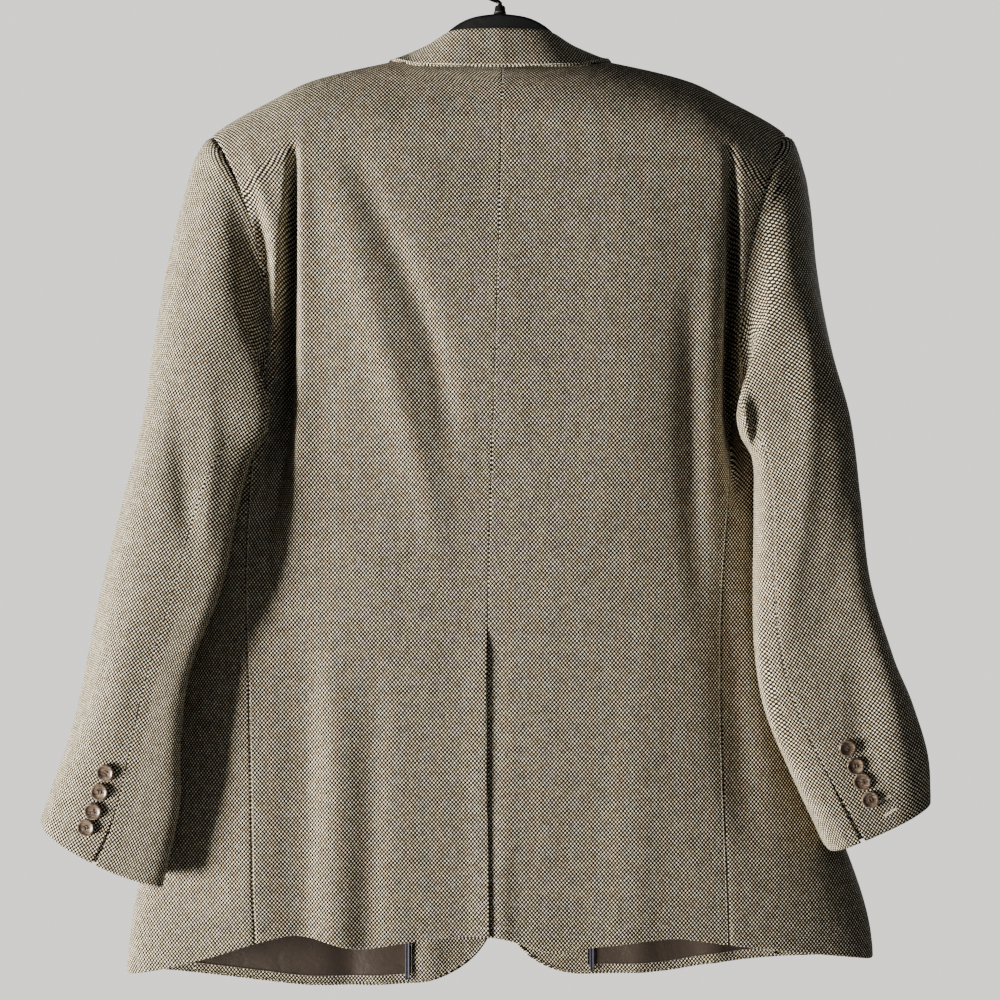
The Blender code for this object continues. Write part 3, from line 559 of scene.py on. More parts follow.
def shaped(away, kind):
    """How a panel's edge turns in, a distance away from it: at a pressed seam, or over a finished edge."""
    if kind == "seam":
        return -0.6 * exp(-(away / 0.9) ** 2) + 0.12 * exp(-((away - 6) / 3) ** 2)
    if kind == "pressed":
        return -0.2 * exp(-(away / 0.7) ** 2)
    if kind == "fold":
        return -0.8 * exp(-(away / 0.7) ** 2) + 0.2 * exp(-((away - 8) / 5) ** 2)
    return 0


def chart(points, grain, origin, far, stretch):
    """A panel's UV map in metres: round it from one column, and down the grain from its middle row.

    A steep crease takes up no more than stretch times its width, so that the checks stay square beside it.
    On a panel that goes round to the other face, a column there, far, keeps the checks square too.
    """
    down = BELOW if grain is None else grain
    weft = np.cross(down, (0, 1, 0))
    weft /= np.linalg.norm(weft)
    start = round(origin * (points.shape[1] - 1))
    middle = points.shape[0] // 2
    step = np.diff(points, axis=1)
    along = np.linalg.norm(step, axis=2)
    if grain is not None:
        along = np.sqrt(np.maximum(along ** 2 - (step @ down) ** 2, 0))
    if stretch:
        along = np.minimum(along, stretch * np.abs(step @ weft) + 1e-4)
    way = np.sign((step @ weft)[middle, max(start - 1, 0)])
    across = np.pad(np.cumsum(along, axis=1), ((0, 0), (1, 0)))
    uv = np.zeros(points.shape[:2] + (2,))
    uv[..., 0] = (points[:, start] @ weft)[:, None] + way * (across - across[:, start:start + 1])
    if far is not None:
        end = round(far * (points.shape[1] - 1))
        back = np.sign((step @ weft)[middle, min(end, step.shape[1] - 1)])
        wanted = uv[middle, end, 0] + way * back * (points[:, end] - points[middle, end]) @ weft
        reach = (across - across[:, start:start + 1]) / (across[:, end:end + 1] - across[:, start:start + 1])
        uv[..., 0] += (wanted - uv[:, end, 0])[:, None] * np.clip(reach, 0, 1)
    step = np.diff(points, axis=0)
    side = 0 if grain is None else step @ weft
    below = np.sqrt(np.maximum((step ** 2).sum(axis=2) - side ** 2, 0))
    if stretch:
        drop = np.abs(step @ down)
        below = drop * np.median(below / np.maximum(drop, 1e-6), axis=1, keepdims=True)
    fallen = np.pad(np.cumsum(below, axis=0), ((1, 0), (0, 0)))
    uv[..., 1] = fallen - fallen[middle:middle + 1]
    if grain is not None:
        uv[..., 1] += (points[middle] @ down)[None, :]
    return uv


BELOW = np.array((0, 0, -1.0))
Cut = namedtuple("Cut", "width length area")    # in metres


def panel(name, surface, across, down, node, finish=tweed, cut=None, grain=BELOW, edges=("fold",) * 4,
          thickness=CLOTH, core=(0, -10, -500),
          origin=0.5, far=None, stretch=None):
    """A cloth panel: a grid laid over surface(s, t), its edges turned in, thickened towards its core."""
    mesh = bmesh.new()
    columns, rows = len(across) - 1, len(down) - 1
    bmesh.ops.create_grid(mesh, x_segments=columns, y_segments=rows, size=0.5)
    grid = np.empty((rows + 1, columns + 1), int)
    mesh.verts.ensure_lookup_table()
    for vertex in mesh.verts:
        i, j = round((vertex.co.x + 0.5) * columns), round((0.5 - vertex.co.y) * rows)
        grid[j, i] = vertex.index
        vertex.co = surface(across[i], down[j])
    mesh.normal_update()
    middle = Vector(core) * MM
    if sum((face.calc_center_median() - middle).dot(face.normal) for face in mesh.faces) < 0:
        bmesh.ops.reverse_faces(mesh, faces=mesh.faces)
    mesh.normal_update()
    points = np.array([vertex.co for vertex in mesh.verts])[grid]
    normals = np.array([vertex.normal for vertex in mesh.verts])[grid]
    along = np.cumsum(np.pad(np.linalg.norm(np.diff(points, axis=1), axis=2), ((0, 0), (1, 0))), axis=1) / MM
    below = np.cumsum(np.pad(np.linalg.norm(np.diff(points, axis=0), axis=2), ((1, 0), (0, 0))), axis=0) / MM
    away = (along, along[:, -1:] - along, below, below[-1:] - below)
    uv = chart(points, grain, origin, far, stretch)
    for j in range(rows + 1):
        for i in range(columns + 1):
            turned = sum(shaped(away[k][j, i], edges[k]) for k in range(4))
            mesh.verts[grid[j, i]].co += Vector(normals[j, i]) * turned * MM
    place = np.zeros((len(mesh.verts), 2))
    place[grid.ravel()] = uv.reshape(-1, 2)
    layer = mesh.loops.layers.uv.new("cloth")
    for face in mesh.faces:
        for loop in face.loops:
            loop[layer].uv = place[loop.vert.index]
    area = sum(face.calc_area() for face in mesh.faces)
    made = finished(name, mesh, finish, node)
    solidify = made.modifiers.new("thickness", "SOLIDIFY")
    solidify.thickness = thickness * MM
    solidify.offset = -1
    solidify.use_even_offset = False
    width, length = along[:, -1].max() * MM, below[-1].max() * MM
    cut = cut or Cut(width, length, min(area, width * length))


ROLL_SHARE = 0.24        # share of a panel's rows spent on the roll over the shoulder
BLADE = {LEFT: 192, RIGHT: 183}    # beside the shoulder blades: the outermost straight column
BLADE_SHARE = 0.85


def panel_drop(x_top, dip, bottom, t):
    """Height of a row: evenly round the shoulder's roll first, then evenly down to the hem."""
    line = ridge(x_top)
    start = max(acos(1 - dip / SHOULDER_ROLL), SEAM / BODY[0].back)
    if t < ROLL_SHARE:
        return line + SHOULDER_ROLL * (1 - cos(mix(start, pi / 2, t / ROLL_SHARE)))
    return mix(line + SHOULDER_ROLL, bottom, (t - ROLL_SHARE) / (1 - ROLL_SHARE))


def on_shoulder(x_top, x, drop, t):
    """The height, kept at the same distance from the shoulder line where the row has moved in or out."""
    return drop + (ridge(x) - ridge(x_top)) * max(1 - t / ROLL_SHARE, 0)


def back_x(side, s, drop):
    """How far out a column of the back lies: straight down as far as BLADE, then out to the edge."""
    inner = read(CENTRE, drop).x + side * SEAM
    blade = side * BLADE[side]
    outer = side * (edge(side, BACK, drop) - 3 * SEAM)
    if s < BLADE_SHARE:
        return mix(inner, blade, s / BLADE_SHARE)
    return mix(blade, outer, (s - BLADE_SHARE) / (1 - BLADE_SHARE))


def lap(side, x, drop):
    """The back near the vent: the wearer's left half lies over the right one."""
    beside = side * (x - read(CENTRE, drop).x)
    near = 1 - ease(2, 22, beside) if beside > 0 else 1
    opened = ease(VENT_TOP - 25, VENT_TOP, drop)
    return on_body(BACK, x, drop) + Vector((0, side * VENT_STEP * near * opened, 0)) * MM


def back_half(side, s, t):
    """Outer face of a back half: s from the centre seam to the armhole and side seam, t down."""
    x_top = back_x(side, s, ARMHOLE_TOP)
    dip = max(1 - (x_top / NECK_HALF) ** 2, 0) * NECK_DIP
    bottom = hem(BACK, back_x(side, s, HEM_DROP))
    drop = panel_drop(x_top, dip, bottom, t)
    x = back_x(side, s, drop)
    return lap(side, x, on_shoulder(x_top, x, drop, t))


for side, name, dense in ((LEFT, "left", (162, 213)), (RIGHT, "right", (176, 222))):
    panel("tweed_back_" + name, partial(back_half, side), spaced(226, dense=[dense]), spaced(830),
          "back_" + name, edges=("pressed", "seam", "seam", "fold"), stretch=1.5)


def vent_underlap(s, t):
    """The wearer's right half goes on under the left one below the top of the vent."""
    centre = read(CENTRE, mix(VENT_TOP, HEM_DROP, t)).x
    x = mix(centre, centre + VENT_UNDERLAP, s)
    drop = mix(VENT_TOP, hem(BACK, x), mix(0.015, 0.995, t))
    return lap(RIGHT, x, drop) - Vector((0, UNDER, 0)) * MM


panel("tweed_vent_underlap", vent_underlap, spaced(VENT_UNDERLAP), spaced(250), "back_vent_underlap",
      edges=(None, "fold", None, "fold"))


ALLOWANCE = 9            # its width on each side of the seam, and where it starts below the collar
ALLOWANCE_TOP = 128


def seam_allowance(s, t):
    """The allowances of the centre back seam, pressed open inside: s across them, t down to the vent."""
    drop = mix(ALLOWANCE_TOP, VENT_TOP - 8, t)
    x = read(CENTRE, drop).x + mix(-ALLOWANCE, ALLOWANCE, s)
    return on_body(BACK, x, drop) - Vector((0, UNDER, 0)) * MM


panel("tweed_centre_seam_allowance", seam_allowance, spaced(2 * ALLOWANCE), spaced(480), None,
      edges=("fold", "fold", None, None), thickness=0.8)


# ---------------------------------------------------------------- sides
# A side body of the same tweed under each arm, sewn to the back and the front with pressed seams. Small
# cream stitches run down the back beside the side-back seams.

ARMHOLE_BOTTOM = 400
PITCH = 120              # degrees round the armhole from its top to the side seams
UNDERARM_BACK = 1.9      # how far back the armhole's lowest point lies on the side body
SIDE_INSET = 0.001       # share of a side body's width left free at each of its seams
STITCH_INSET = 1.6       # from the side-back seam to its stitches
STITCH_TOP = 440

# The creases of the side bodies' front half, and of the fronts.
FRONT_CREASES = [
    crease((200, 168, 0, 8, 8), (300, 172, -6, 9, 10), (420, 170, -5, 10, 12), (520, 166, 0, 12, 12)),
    crease((200, -168, 0, 8, 8), (290, -170, -5, 9, 10), (400, -168, -6, 10, 12), (540, -160, 0, 12, 12)),
    crease((560, 128, 0, 16, 14), (760, 132, 2.5, 18, 16), (930, 136, 3, 18, 16)),
    crease((540, -110, 0, 14, 14), (720, -120, -2.5, 14, 14), (930, -128, -3, 16, 16)),
    crease((640, 60, 0, 12, 12), (800, 62, -2, 14, 12), (930, 64, -3, 14, 12)),
    crease((600, -186, 0, 12, 12), (760, -190, -3, 14, 12), (930, -196, -3, 14, 12)),
]


def armhole_drop(around):
    middle = (ARMHOLE_TOP + ARMHOLE_BOTTOM) / 2
    return middle - (ARMHOLE_BOTTOM - ARMHOLE_TOP) / 2 * cos(radians(around))


def side_turn(side, s, drop):
    start = turn_at(side, BACK, side * edge(side, BACK, drop), drop)
    end = turn_at(side, FRONT, side * edge(side, FRONT, drop), drop)
    return mix(start, end, s)


def side_panel(side, s, t):
    """Outer face of a side body: s from the side-back seam round to the front seam, t down."""
    high = armhole_drop(mix(PITCH, 360 - PITCH, s ** (1 / UNDERARM_BACK)))
    low = side_turn(side, s, HEM_DROP)
    foot = skin(side, low, HEM_DROP).x / MM
    bottom = mix(hem(FRONT, foot), hem(BACK, foot), ease(-25, 25, low))
    drop = mix(high + 2 * SEAM, bottom, t)
    return skin(side, side_turn(side, mix(SIDE_INSET, 1 - SIDE_INSET, s), drop), drop)


for side, name in SIDES:
    panel("tweed_side_" + name, partial(side_panel, side), spaced(190), spaced(530), "side_" + name,
          edges=("seam", "seam", "seam", "fold"), origin=0.15)


# Cream silk twist for the stitches that show: a glossy two-ply thread.
twist, shader = surface_of("silk_twist_cream", 0.5, Sheen_Weight=0.2)
plies = noisy(twist, 900.0, 1.0, Vector=add(twist, "ShaderNodeTexCoord").outputs["Object"])
link(twist, shader, Base_Color=blend(twist, plies, linear("#CDBFA6"), linear("#FFF8E6")))


def stitches(name, route, start, end, pitch, length, thick, core):
    """A row of small stitches. route(u, aside) is a point of the cloth along the row, or beside it."""
    at = [mix(start, end, share) for share in even(500)]
    points = [route(u, 0) for u in at]
    walked = np.cumsum([0] + [(b - a).length for a, b in zip(points, points[1:])]) / MM
    mesh = bmesh.new()
    for index in range(int(walked[-1] / pitch)):
        k = int(np.searchsorted(walked, (index + 0.5) * pitch))
        if not 0 < k < len(points) - 1:
            continue
        along = (points[k + 1] - points[k - 1]).normalized()
        aside = route(at[k], 1) - route(at[k], -1)
        normal = along.cross(aside).normalized()
        if normal.dot(points[k] - Vector(core) * MM) < 0:
            normal.negate()
        # Hand sewing: no two stitches have quite the same slant and length.
        along = (along + aside.normalized() * 0.12 * sin(index * 2.4)).normalized()
        frame_of = Matrix((along, normal.cross(along), normal)).transposed().to_4x4()
        place = Matrix.Translation(points[k] + normal * thick * 0.2 * MM)
        size = Matrix.Diagonal((length / 2 * (1 + 0.15 * sin(index * 1.7)), thick / 2, thick / 2, 1))
        bmesh.ops.create_icosphere(mesh, subdivisions=2, radius=1,
                                   matrix=place @ frame_of @ Matrix.Scale(MM, 4) @ size)
    finished(name, mesh, twist, None)


def beside_seam(side, u, aside):
    """On the back beside the side-back seam, u down."""
    return on_body(BACK, side * (edge(side, BACK, u) - STITCH_INSET - aside), u)


for side, name, foot in ((LEFT, "left", 864), (RIGHT, "right", 868)):
    stitches("side_seam_stitches_" + name, partial(beside_seam, side), STITCH_TOP, foot, 2.2, 1.2, 0.55,
             (0, -40, -500))


# ---------------------------------------------------------------- fronts
# Two tweed fronts with a rounded corner, sewn to the side bodies and the shoulders; their upper edges roll
# back into notch lapels. They hang unfastened.

# Where their inner edge runs, from the neck down the roll of the lapel to the closing edge.
OPENING = table("drop x", (90, 84), (150, 66), (300, 39), (480, 7), (520, 4), (920, 4))
BREAK = 500              # where the lapel starts to roll
CORNER_WIDTH = 76        # the rounded front corner
CORNER_HEIGHT = 62

LAPEL_RISE = 3.2         # how far the lapel's roll stands off the front
LAPEL_GAP = 1.0          # under a lapel's edge
LAPEL = table(
    "t roll_drop edge_x edge_drop",
    (0, 168, 112, 226), (0.2, 205, 118, 248), (0.45, 285, 106, 312), (0.75, 400, 68, 410),
    (1, BREAK, 12, 496),
)


def lifted(face, x, drop, out):
    """A point that lies out from the body's outer face, square to it."""
    step = 3
    across = on_body(face, x + step, drop) - on_body(face, x - step, drop)
    down = on_body(face, x, drop + step) - on_body(face, x, drop - step)
    normal = across.cross(down).normalized()
    if normal.y * face < 0:
        normal.negate()
    return on_body(face, x, drop) + normal * out * MM


def corner(side, x):
    """How much the rounded front corner lifts the hem."""
    share = min(max((CORNER_WIDTH - side * x) / (CORNER_WIDTH - 4), 0), 1)
    return CORNER_HEIGHT * (1 - sqrt(1 - share ** 2))


def front_half(side, s, t):
    """Outer face of a front: s from its closing edge to the armhole and side seam, t down."""
    spread = 1 - cos(s * pi / 2) if s < 1 else 1
    s = mix(s, spread, 0.5)
    tip = edge(side, FRONT, ARMHOLE_TOP) - 3 * SEAM
    x_top = side * mix(NECK_HALF, tip, s)
    x_bottom = side * mix(OPENING[-1].x, edge(side, FRONT, HEM_DROP), s)
    bottom = hem(FRONT, x_bottom) - corner(side, x_bottom)
    drop = panel_drop(x_top, 0, bottom, t)
    outer = edge(side, FRONT, drop) - 3 * SEAM
    x = side * mix(read(OPENING, drop).x, outer, s)
    return on_body(FRONT, x, on_shoulder(x_top, x, drop, t))


def lapel(side, s, t):
    """Outer face of a lapel: s from the roll line to the edge, t from the gorge down to the break."""
    row = read(LAPEL, t)
    x = mix(read(OPENING, row.roll_drop).x + 1, row.edge_x, s)
    drop = mix(row.roll_drop, row.edge_drop, s)
    rise = LAPEL_RISE * sin(pi * min(s * 1.4, 1)) * (1 - t)
    return lifted(FRONT, side * x, drop, CLOTH + LAPEL_GAP + rise)


for side, name in SIDES:
    panel("tweed_front_" + name, partial(front_half, side), spaced(200), spaced(850), "front_" + name,
          edges=("fold", "seam", "seam", "fold"))
    panel("tweed_lapel_" + name, partial(lapel, side), spaced(90), spaced(330), "lapel_" + name)


# ---------------------------------------------------------------- inside of the fronts
# A tweed facing, a hem turned up inside, and a satin lining that stops above the hem. A narrow navy
# tape covers the join of lining and facing.

FACING = 1.0
LINING = 0.8
FACING_WIDTH = 84
FACING_TOP = 510         # the facing starts at the break of the lapel
LINING_TOP = 700
LINING_RISE = 9          # the lining stops this far above the hem
LINING_LAP = 5           # and goes this far under the facing's edge
LINING_REACH = {LEFT: 276, RIGHT: 250}
TURN_UP = 34
TAPE_GAP = 0.3


def inside(side, x_in, x_out, top, above_hem, depth, s, t):
    """A layer against the inside of a front: s from the middle out, t down; without a top, the turn-up."""
    x = side * mix(x_in, x_out, s)
    bottom = hem(FRONT, x) - corner(side, x) - above_hem
    high = top or hem(FRONT, x) - TURN_UP
    return lifted(FRONT, x, mix(high, bottom, t), -depth)


# Viscose satin: a dark brown warp-faced weave, smooth, with a soft stretched highlight and faint creasing.
satin, shader = surface_of("viscose_satin_brown", 0.38, Sheen_Weight=0.15, Specular_IOR_Level=0.5)
uv = add(satin, "ShaderNodeUVMap", uv_map="cloth").outputs["UV"]
stretched = add(satin, "ShaderNodeMapping", {"Vector": uv, "Scale": (4000.0, 300.0, 1.0)})
ribs = noisy(satin, 1.0, 2.0, Vector=stretched.outputs[0])
folds = noisy(satin, 38.0, 3.0, Vector=uv, Distortion=0.8)
height = maths(satin, "MULTIPLY_ADD", folds, 6.0, ribs)
link(satin, shader, Base_Color=blend(satin, ribs, linear("#2A2019"), linear("#392D23")),
     Normal=bumpy(satin, height, 0.3, 0.0006))

for side, name in SIDES:
    reach = LINING_REACH[side]
    layer = partial(inside, side)
    panel("tweed_facing_" + name, partial(layer, 6, FACING_WIDTH, FACING_TOP, 2, UNDER), spaced(78),
          spaced(390), "facing_" + name, thickness=FACING)
    panel("tweed_turn_up_" + name, partial(layer, FACING_WIDTH + 4 * SEAM, reach, None, 2, UNDER),
          spaced(reach - FACING_WIDTH), spaced(TURN_UP), "hem_turn_up_" + name, thickness=FACING,
          edges=(None, None, "fold", "fold"))
    under_facing = UNDER + FACING + LAID
    panel("satin_lining_" + name,
          partial(layer, FACING_WIDTH - LINING_LAP, reach, LINING_TOP, LINING_RISE, under_facing),
          spaced(reach - FACING_WIDTH), spaced(200), "lining_" + name, satin, thickness=LINING)

# Navy viscose tape: a fine rib across its width. It is 4 mm wide; its cut states 10 mm, and its own area.
tape, shader = surface_of("viscose_tape_navy", 0.55, Sheen_Weight=0.1)
uv = add(tape, "ShaderNodeUVMap", uv_map="cloth").outputs["UV"]
ribs = add(tape, "ShaderNodeTexWave", {"Vector": uv, "Scale": 220.0, "Distortion": 0.6}, bands_direction="Y")
link(tape, shader, Base_Color=blend(tape, ribs.outputs["Fac"], linear("#201E2C"), linear("#3A3850")))
TAPE_CUT = Cut(0.01, 0.21, 0.00085)
under_lining = under_facing + LINING + TAPE_GAP
for side, name in SIDES:
    panel("navy_tape_" + name,
          partial(inside, side, FACING_WIDTH - 2.5, FACING_WIDTH + 1.5, LINING_TOP, 4, under_lining),
          even(4), spaced(200), None, tape, TAPE_CUT, thickness=0.5)


# ---------------------------------------------------------------- pockets
# The slanted flaps of a hacking jacket, each under a jetting, and a breast welt: doubled tweed, sewn to
# the fronts.

Patch = namedtuple("Patch", "side x_in x_out drop slant height rise")
PATCHES = {
    "flap_left": Patch(LEFT, 74, 196, 640, 22, 54, 0.8),
    "flap_right": Patch(RIGHT, 68, 182, 640, 22, 54, 0.8),
    "jetting_left": Patch(LEFT, 72, 198, 632, 22, 6, 0),
    "jetting_right": Patch(RIGHT, 66, 184, 632, 22, 6, 0),
    "breast_welt": Patch(LEFT, 110, 188, 322, -9, 24, 0),
}


def patch(piece, s, t):
    """Outer face of a patch: s from its inner end out, t down."""
    x = mix(piece.x_in, piece.x_out, s)
    drop = piece.drop + piece.slant * s + piece.height * t
    return lifted(FRONT, piece.side * x, drop, UNDER + piece.rise * t)


for name, piece in PATCHES.items():
    wide, high = piece.x_out - piece.x_in, piece.height
    # A jetting is narrower than the least width of a sheet: its cut states 12 mm, and its own area.
    cut = Cut((wide + 6) * MM, 0.012, wide * high * 1.05e-6) if high < 10 else None
    down = spaced(high) if high > 10 else even(6)
    panel("tweed_" + name, partial(patch, piece), spaced(wide), down, name, cut=cut)


# ---------------------------------------------------------------- sleeves
# Two-piece tweed sleeves, eased into the armholes with a slight rope at the head. The hind seam has small
# cream stitches and ends in a slit at the cuff. They hang slightly forward and crease at the elbow.

RING = "along outer_x outer_drop inner_x inner_drop y depth twist hollow"
SLEEVES = {
    LEFT: table(
        RING,
        (0.05, 272, 185, 233, 402, -8, 57, 6, 24),
        (0.10, 281, 220, 231, 406, -3, 58, 16, 18),
        (0.17, 293, 282, 222, 413, 6, 58, 23, 14),
        (0.25, 303, 350, 216, 427, 14, 55, 22, 8),
        (0.33, 312, 415, 222, 449, 19, 50, 17, 5),
        (0.44, 327, 487, 233, 490, 29, 49, 22, 0),
        (0.56, 344, 563, 248, 556, 32, 45, 28, 0),
        (0.68, 359, 640, 276, 628, 29, 42, 29, 0),
        (0.78, 372, 688, 283, 690, 27, 39, 28, 0),
        (0.88, 390, 733, 283, 742, 23, 37, 26, 0),
        (1.00, 402, 765, 297, 811, 18, 35, 22, 0),
    ),
    RIGHT: table(
        RING,
        (0.05, 268, 185, 236, 402, -11, 55, 6, 22),
        (0.10, 274, 220, 233, 406, -5, 56, 12, 16),
        (0.17, 279, 285, 217, 413, 6, 57, 15, 9),
        (0.25, 289, 350, 210, 427, 17, 53, 11, 0),
        (0.33, 303, 412, 219, 447, 26, 46, 7, 0),
        (0.44, 309, 480, 219, 488, 37, 44, 4, 0),
        (0.56, 316, 552, 218, 550, 40, 40, 3, 0),
        (0.68, 335, 615, 219, 615, 41, 38, 3, 0),
        (0.78, 352, 655, 228, 665, 40, 37, 2, 0),
        (0.88, 367, 700, 248, 712, 34, 36, 1, 0),
        (1.00, 371, 742, 282, 783, 26, 34, 0, 0),
    ),
}
RING_SQUARE = 2.05
BEHIND_SQUARE = 3.5      # the side that faces back is flatter, and folds over towards the body
INSIDE_SQUARE = 4.5
HIND = table(
    "along left right",
    (0, 112, 120), (0.17, 118, 128), (0.3, 110, 129), (0.44, 98, 128), (0.56, 90, 127), (0.68, 87, 125),
    (0.9, 83, 118), (1, 78, 112),
)
FORE = -PITCH
SLIT = 0.86              # where the hind seam opens into the cuff slit
SLIT_HALF = 1.5          # half of the slit's width at the cuff
CUFF_DIP = {LEFT: 12, RIGHT: 3}    # how much lower the cuff's edge hangs behind
SLEEVE_LONG = 620
SLEEVE_SEAM = 0.08       # half of a sleeve seam's gap
SLEEVE_RADIUS = 48       # a middling one, which turns a width on the sleeve into an angle
HEAD_KEYS = (0, 0.004, 0.009, 0.026)    # where the sleeve head's four rings lie along the sleeve
ARMHOLE_MIDDLE = Vector((215, -18, -280))
Knot = namedtuple("Knot", "along x y z")
SLEEVE_CREASES = {
    LEFT: [
        crease((370, 276, 0, 8, 8), (430, 272, -3, 9, 9), (480, 266, -3, 9, 9), (530, 258, 0, 9, 9)),
        crease((370, 248, 0, 8, 8), (440, 243, 3, 9, 9), (500, 246, 3, 9, 9), (540, 250, 0, 9, 9)),
        crease((240, 262, 0, 8, 10), (300, 262, -2, 10, 10), (360, 262, 0, 10, 10)),
        crease((560, 310, 0, 14, 14), (640, 322, 2, 14, 14), (740, 340, 0, 14, 14)),
    ],
    RIGHT: [
        crease((325, -280, 0, 8, 6), (380, -288, -0.6, 8, 8), (440, -295, -1.2, 8, 10),
               (520, -286, -1.4, 7, 12), (580, -270, -1.2, 7, 12), (625, -258, 0, 7, 12)),
        crease((470, -308, 0, 14, 12), (530, -316, 6, 16, 12), (610, -326, 7, 18, 12),
               (690, -338, 4, 18, 12), (760, -345, 0, 18, 12)),
        crease((300, -262, 0, 10, 6), (380, -262, 3, 12, 9), (470, -256, 3.5, 14, 10),
               (560, -243, 3, 14, 10), (620, -238, 0, 14, 8)),
        crease((600, -300, 0, 10, 12), (680, -302, -2.5, 10, 12), (740, -306, 0, 10, 12)),
        crease((388, -207, 0, 4, 4), (402, -206, 7, 4, 4), (430, -208, 8, 4, 4), (455, -214, 0, 4, 4)),
        crease((400, -215, 0, 3, 3), (412, -215, -4.5, 3, 3), (436, -216, -4.5, 3, 3), (458, -219, 0, 3, 3)),
    ],
}


def armhole(side, around):
    """A point of the armhole seam: 0 on the shoulder, 90 behind, 180 under the arm."""
    drop = armhole_drop(around)
    if around <= PITCH:
        return on_body(BACK, side * edge(side, BACK, drop), drop)
    if around >= 360 - PITCH:
        return on_body(FRONT, side * edge(side, FRONT, drop), drop)
    share = ((around - PITCH) / (360 - 2 * PITCH)) ** UNDERARM_BACK
    return skin(side, side_turn(side, share, drop), drop)


def sleeve_start(side, around):
    """The sleeve's first four rings: under the body's edge, up in the seam, over the rope, and out."""
    around %= 360
    point = armhole(side, around)
    middle = Vector((side * ARMHOLE_MIDDLE.x, ARMHOLE_MIDDLE.y, ARMHOLE_MIDDLE.z)) * MM
    step = 9
    along_seam = Vector((0, 1, 0))
    if step < around < 360 - step:
        along_seam = (armhole(side, around + step) - armhole(side, around - step)).normalized()
    upper = 0.5 + 0.5 * cos(radians(around))
    spoke = point - middle
    spoke.x = side * mix(12, 90, upper ** 4) * MM
    normal = (spoke - along_seam * spoke.dot(along_seam)).normalized()
    away = along_seam.cross(normal) * side
    sideways = sin(radians(around)) ** 2
    return [point + (away * -2.2 - normal * 3.2) * MM,
            point + (away * 0.2 - normal * 1.3) * MM,
            point + (away * 1.3 + normal * mix(-0.5, -0.2, sideways)) * MM,
            point + (away * mix(5.0, 9.0, upper) + normal * mix(mix(0.8, -0.4, upper), 0.9, sideways)) * MM]


def ring_point(side, ring, around):
    outer = Vector((side * ring.outer_x, ring.y, -ring.outer_drop))
    inner = Vector((side * ring.inner_x, ring.y, -ring.inner_drop))
    c, s = cos(radians(around)), sin(radians(around))
    lean = radians(ring.twist)
    behind = Vector((-side * sin(lean), cos(lean), 0))
    flat = BEHIND_SQUARE if c > 0 else INSIDE_SQUARE
    square = mix(RING_SQUARE, flat, ease(0, 0.35, s))
    reach = (abs(c) ** square + abs(s) ** square) ** (1 / square)
    c, s = c / reach, s / reach
    point = (outer + inner) / 2 + (outer - inner) / 2 * c + behind * ring.depth * s
    point.x -= side * ring.hollow * abs(s) ** 2
    return point * MM


def sleeve_point(side, around, along):
    """A point of the sleeve's outer face: a smooth curve through its rings, then its creases."""
    knots = [Knot(key, *point) for key, point in zip(HEAD_KEYS, sleeve_start(side, around))]
    knots += [Knot(ring.along, *ring_point(side, ring, around)) for ring in SLEEVES[side]]
    found = read(knots, along)
    point = Vector((found.x, found.y, found.z))
    behind = sin(radians(around))
    x, drop = point.x / MM, -point.z / MM
    if behind > 0:
        depth = creased(SLEEVE_CREASES[side], x, drop)
    else:
        depth = 0.6 * creased(SLEEVE_CREASES[-side], -x, drop)
    settled = ease(0, 0.08, along)
    point.z -= CUFF_DIP[side] * max(behind, 0) ** 1.5 * ease(0.7, 1, along) * MM
    point.y += (1 if behind > 0 else -1) * abs(behind) ** 0.6 * settled * depth * MM
    outwards = Vector((cos(radians(around)) * side, behind, 0))
    return point + outwards * settled * 0.8 * unevenness(x, drop, 20 + side + 3 * behind) * MM


def hind(side, along):
    row = read(HIND, along)
    return row.left if side == LEFT else row.right


def seam_inset(along, slit):
    """Angle left free on each side of a sleeve seam, wider in the cuff slit."""
    opened = ease(SLIT, 1, along) * SLIT_HALF if slit else 0
    return degrees((SLEEVE_SEAM + opened) / SLEEVE_RADIUS)


def top_sleeve(side, s, t):
    first = FORE + seam_inset(t, False)
    last = hind(side, t) - seam_inset(t, True)
    return sleeve_point(side, mix(first, last, s), t)


def under_sleeve(side, s, t):
    first = hind(side, t) + seam_inset(t, True)
    last = 360 + FORE - seam_inset(t, False)
    return sleeve_point(side, mix(first, last, s), t)


SLEEVE_DOWN = spaced(SLEEVE_LONG)
for side, name in SIDES:
    core = (side * 290, 10, -500)
    hang = np.array((side * 98, 10, -503.0))
    hang /= np.linalg.norm(hang)
    panel("tweed_top_sleeve_" + name, partial(top_sleeve, side), spaced(230), SLEEVE_DOWN,
          "top_sleeve_" + name, grain=hang, edges=("seam", "pressed", None, "fold"), core=core,
          origin=0.78, far=0.2)
    panel("tweed_under_sleeve_" + name, partial(under_sleeve, side), spaced(130, dense=[(0, 60)]),
          SLEEVE_DOWN, "under_sleeve_" + name, grain=hang, edges=("pressed", "seam", None, "fold"), core=core,
          origin=0.12, far=0.9)


def hind_route(side, u, aside):
    return sleeve_point(side, hind(side, u) - degrees((1.4 + aside) / SLEEVE_RADIUS), u)


def cuff_underlap(side, s, t):
    """The under sleeve goes on under the top sleeve behind the cuff slit."""
    along = mix(SLIT - 0.02, 0.996, t)
    turn = hind(side, along)
    around = turn + degrees(mix(6, -13, s) / SLEEVE_RADIUS)
    point = sleeve_point(side, around, along)
    across = sleeve_point(side, around + 3, along) - sleeve_point(side, around - 3, along)
    down = sleeve_point(side, around, along) - sleeve_point(side, around, along - 0.01)
    normal = across.cross(down).normalized()
    if normal.y < 0:
        normal.negate()
    return point - normal * UNDER * MM


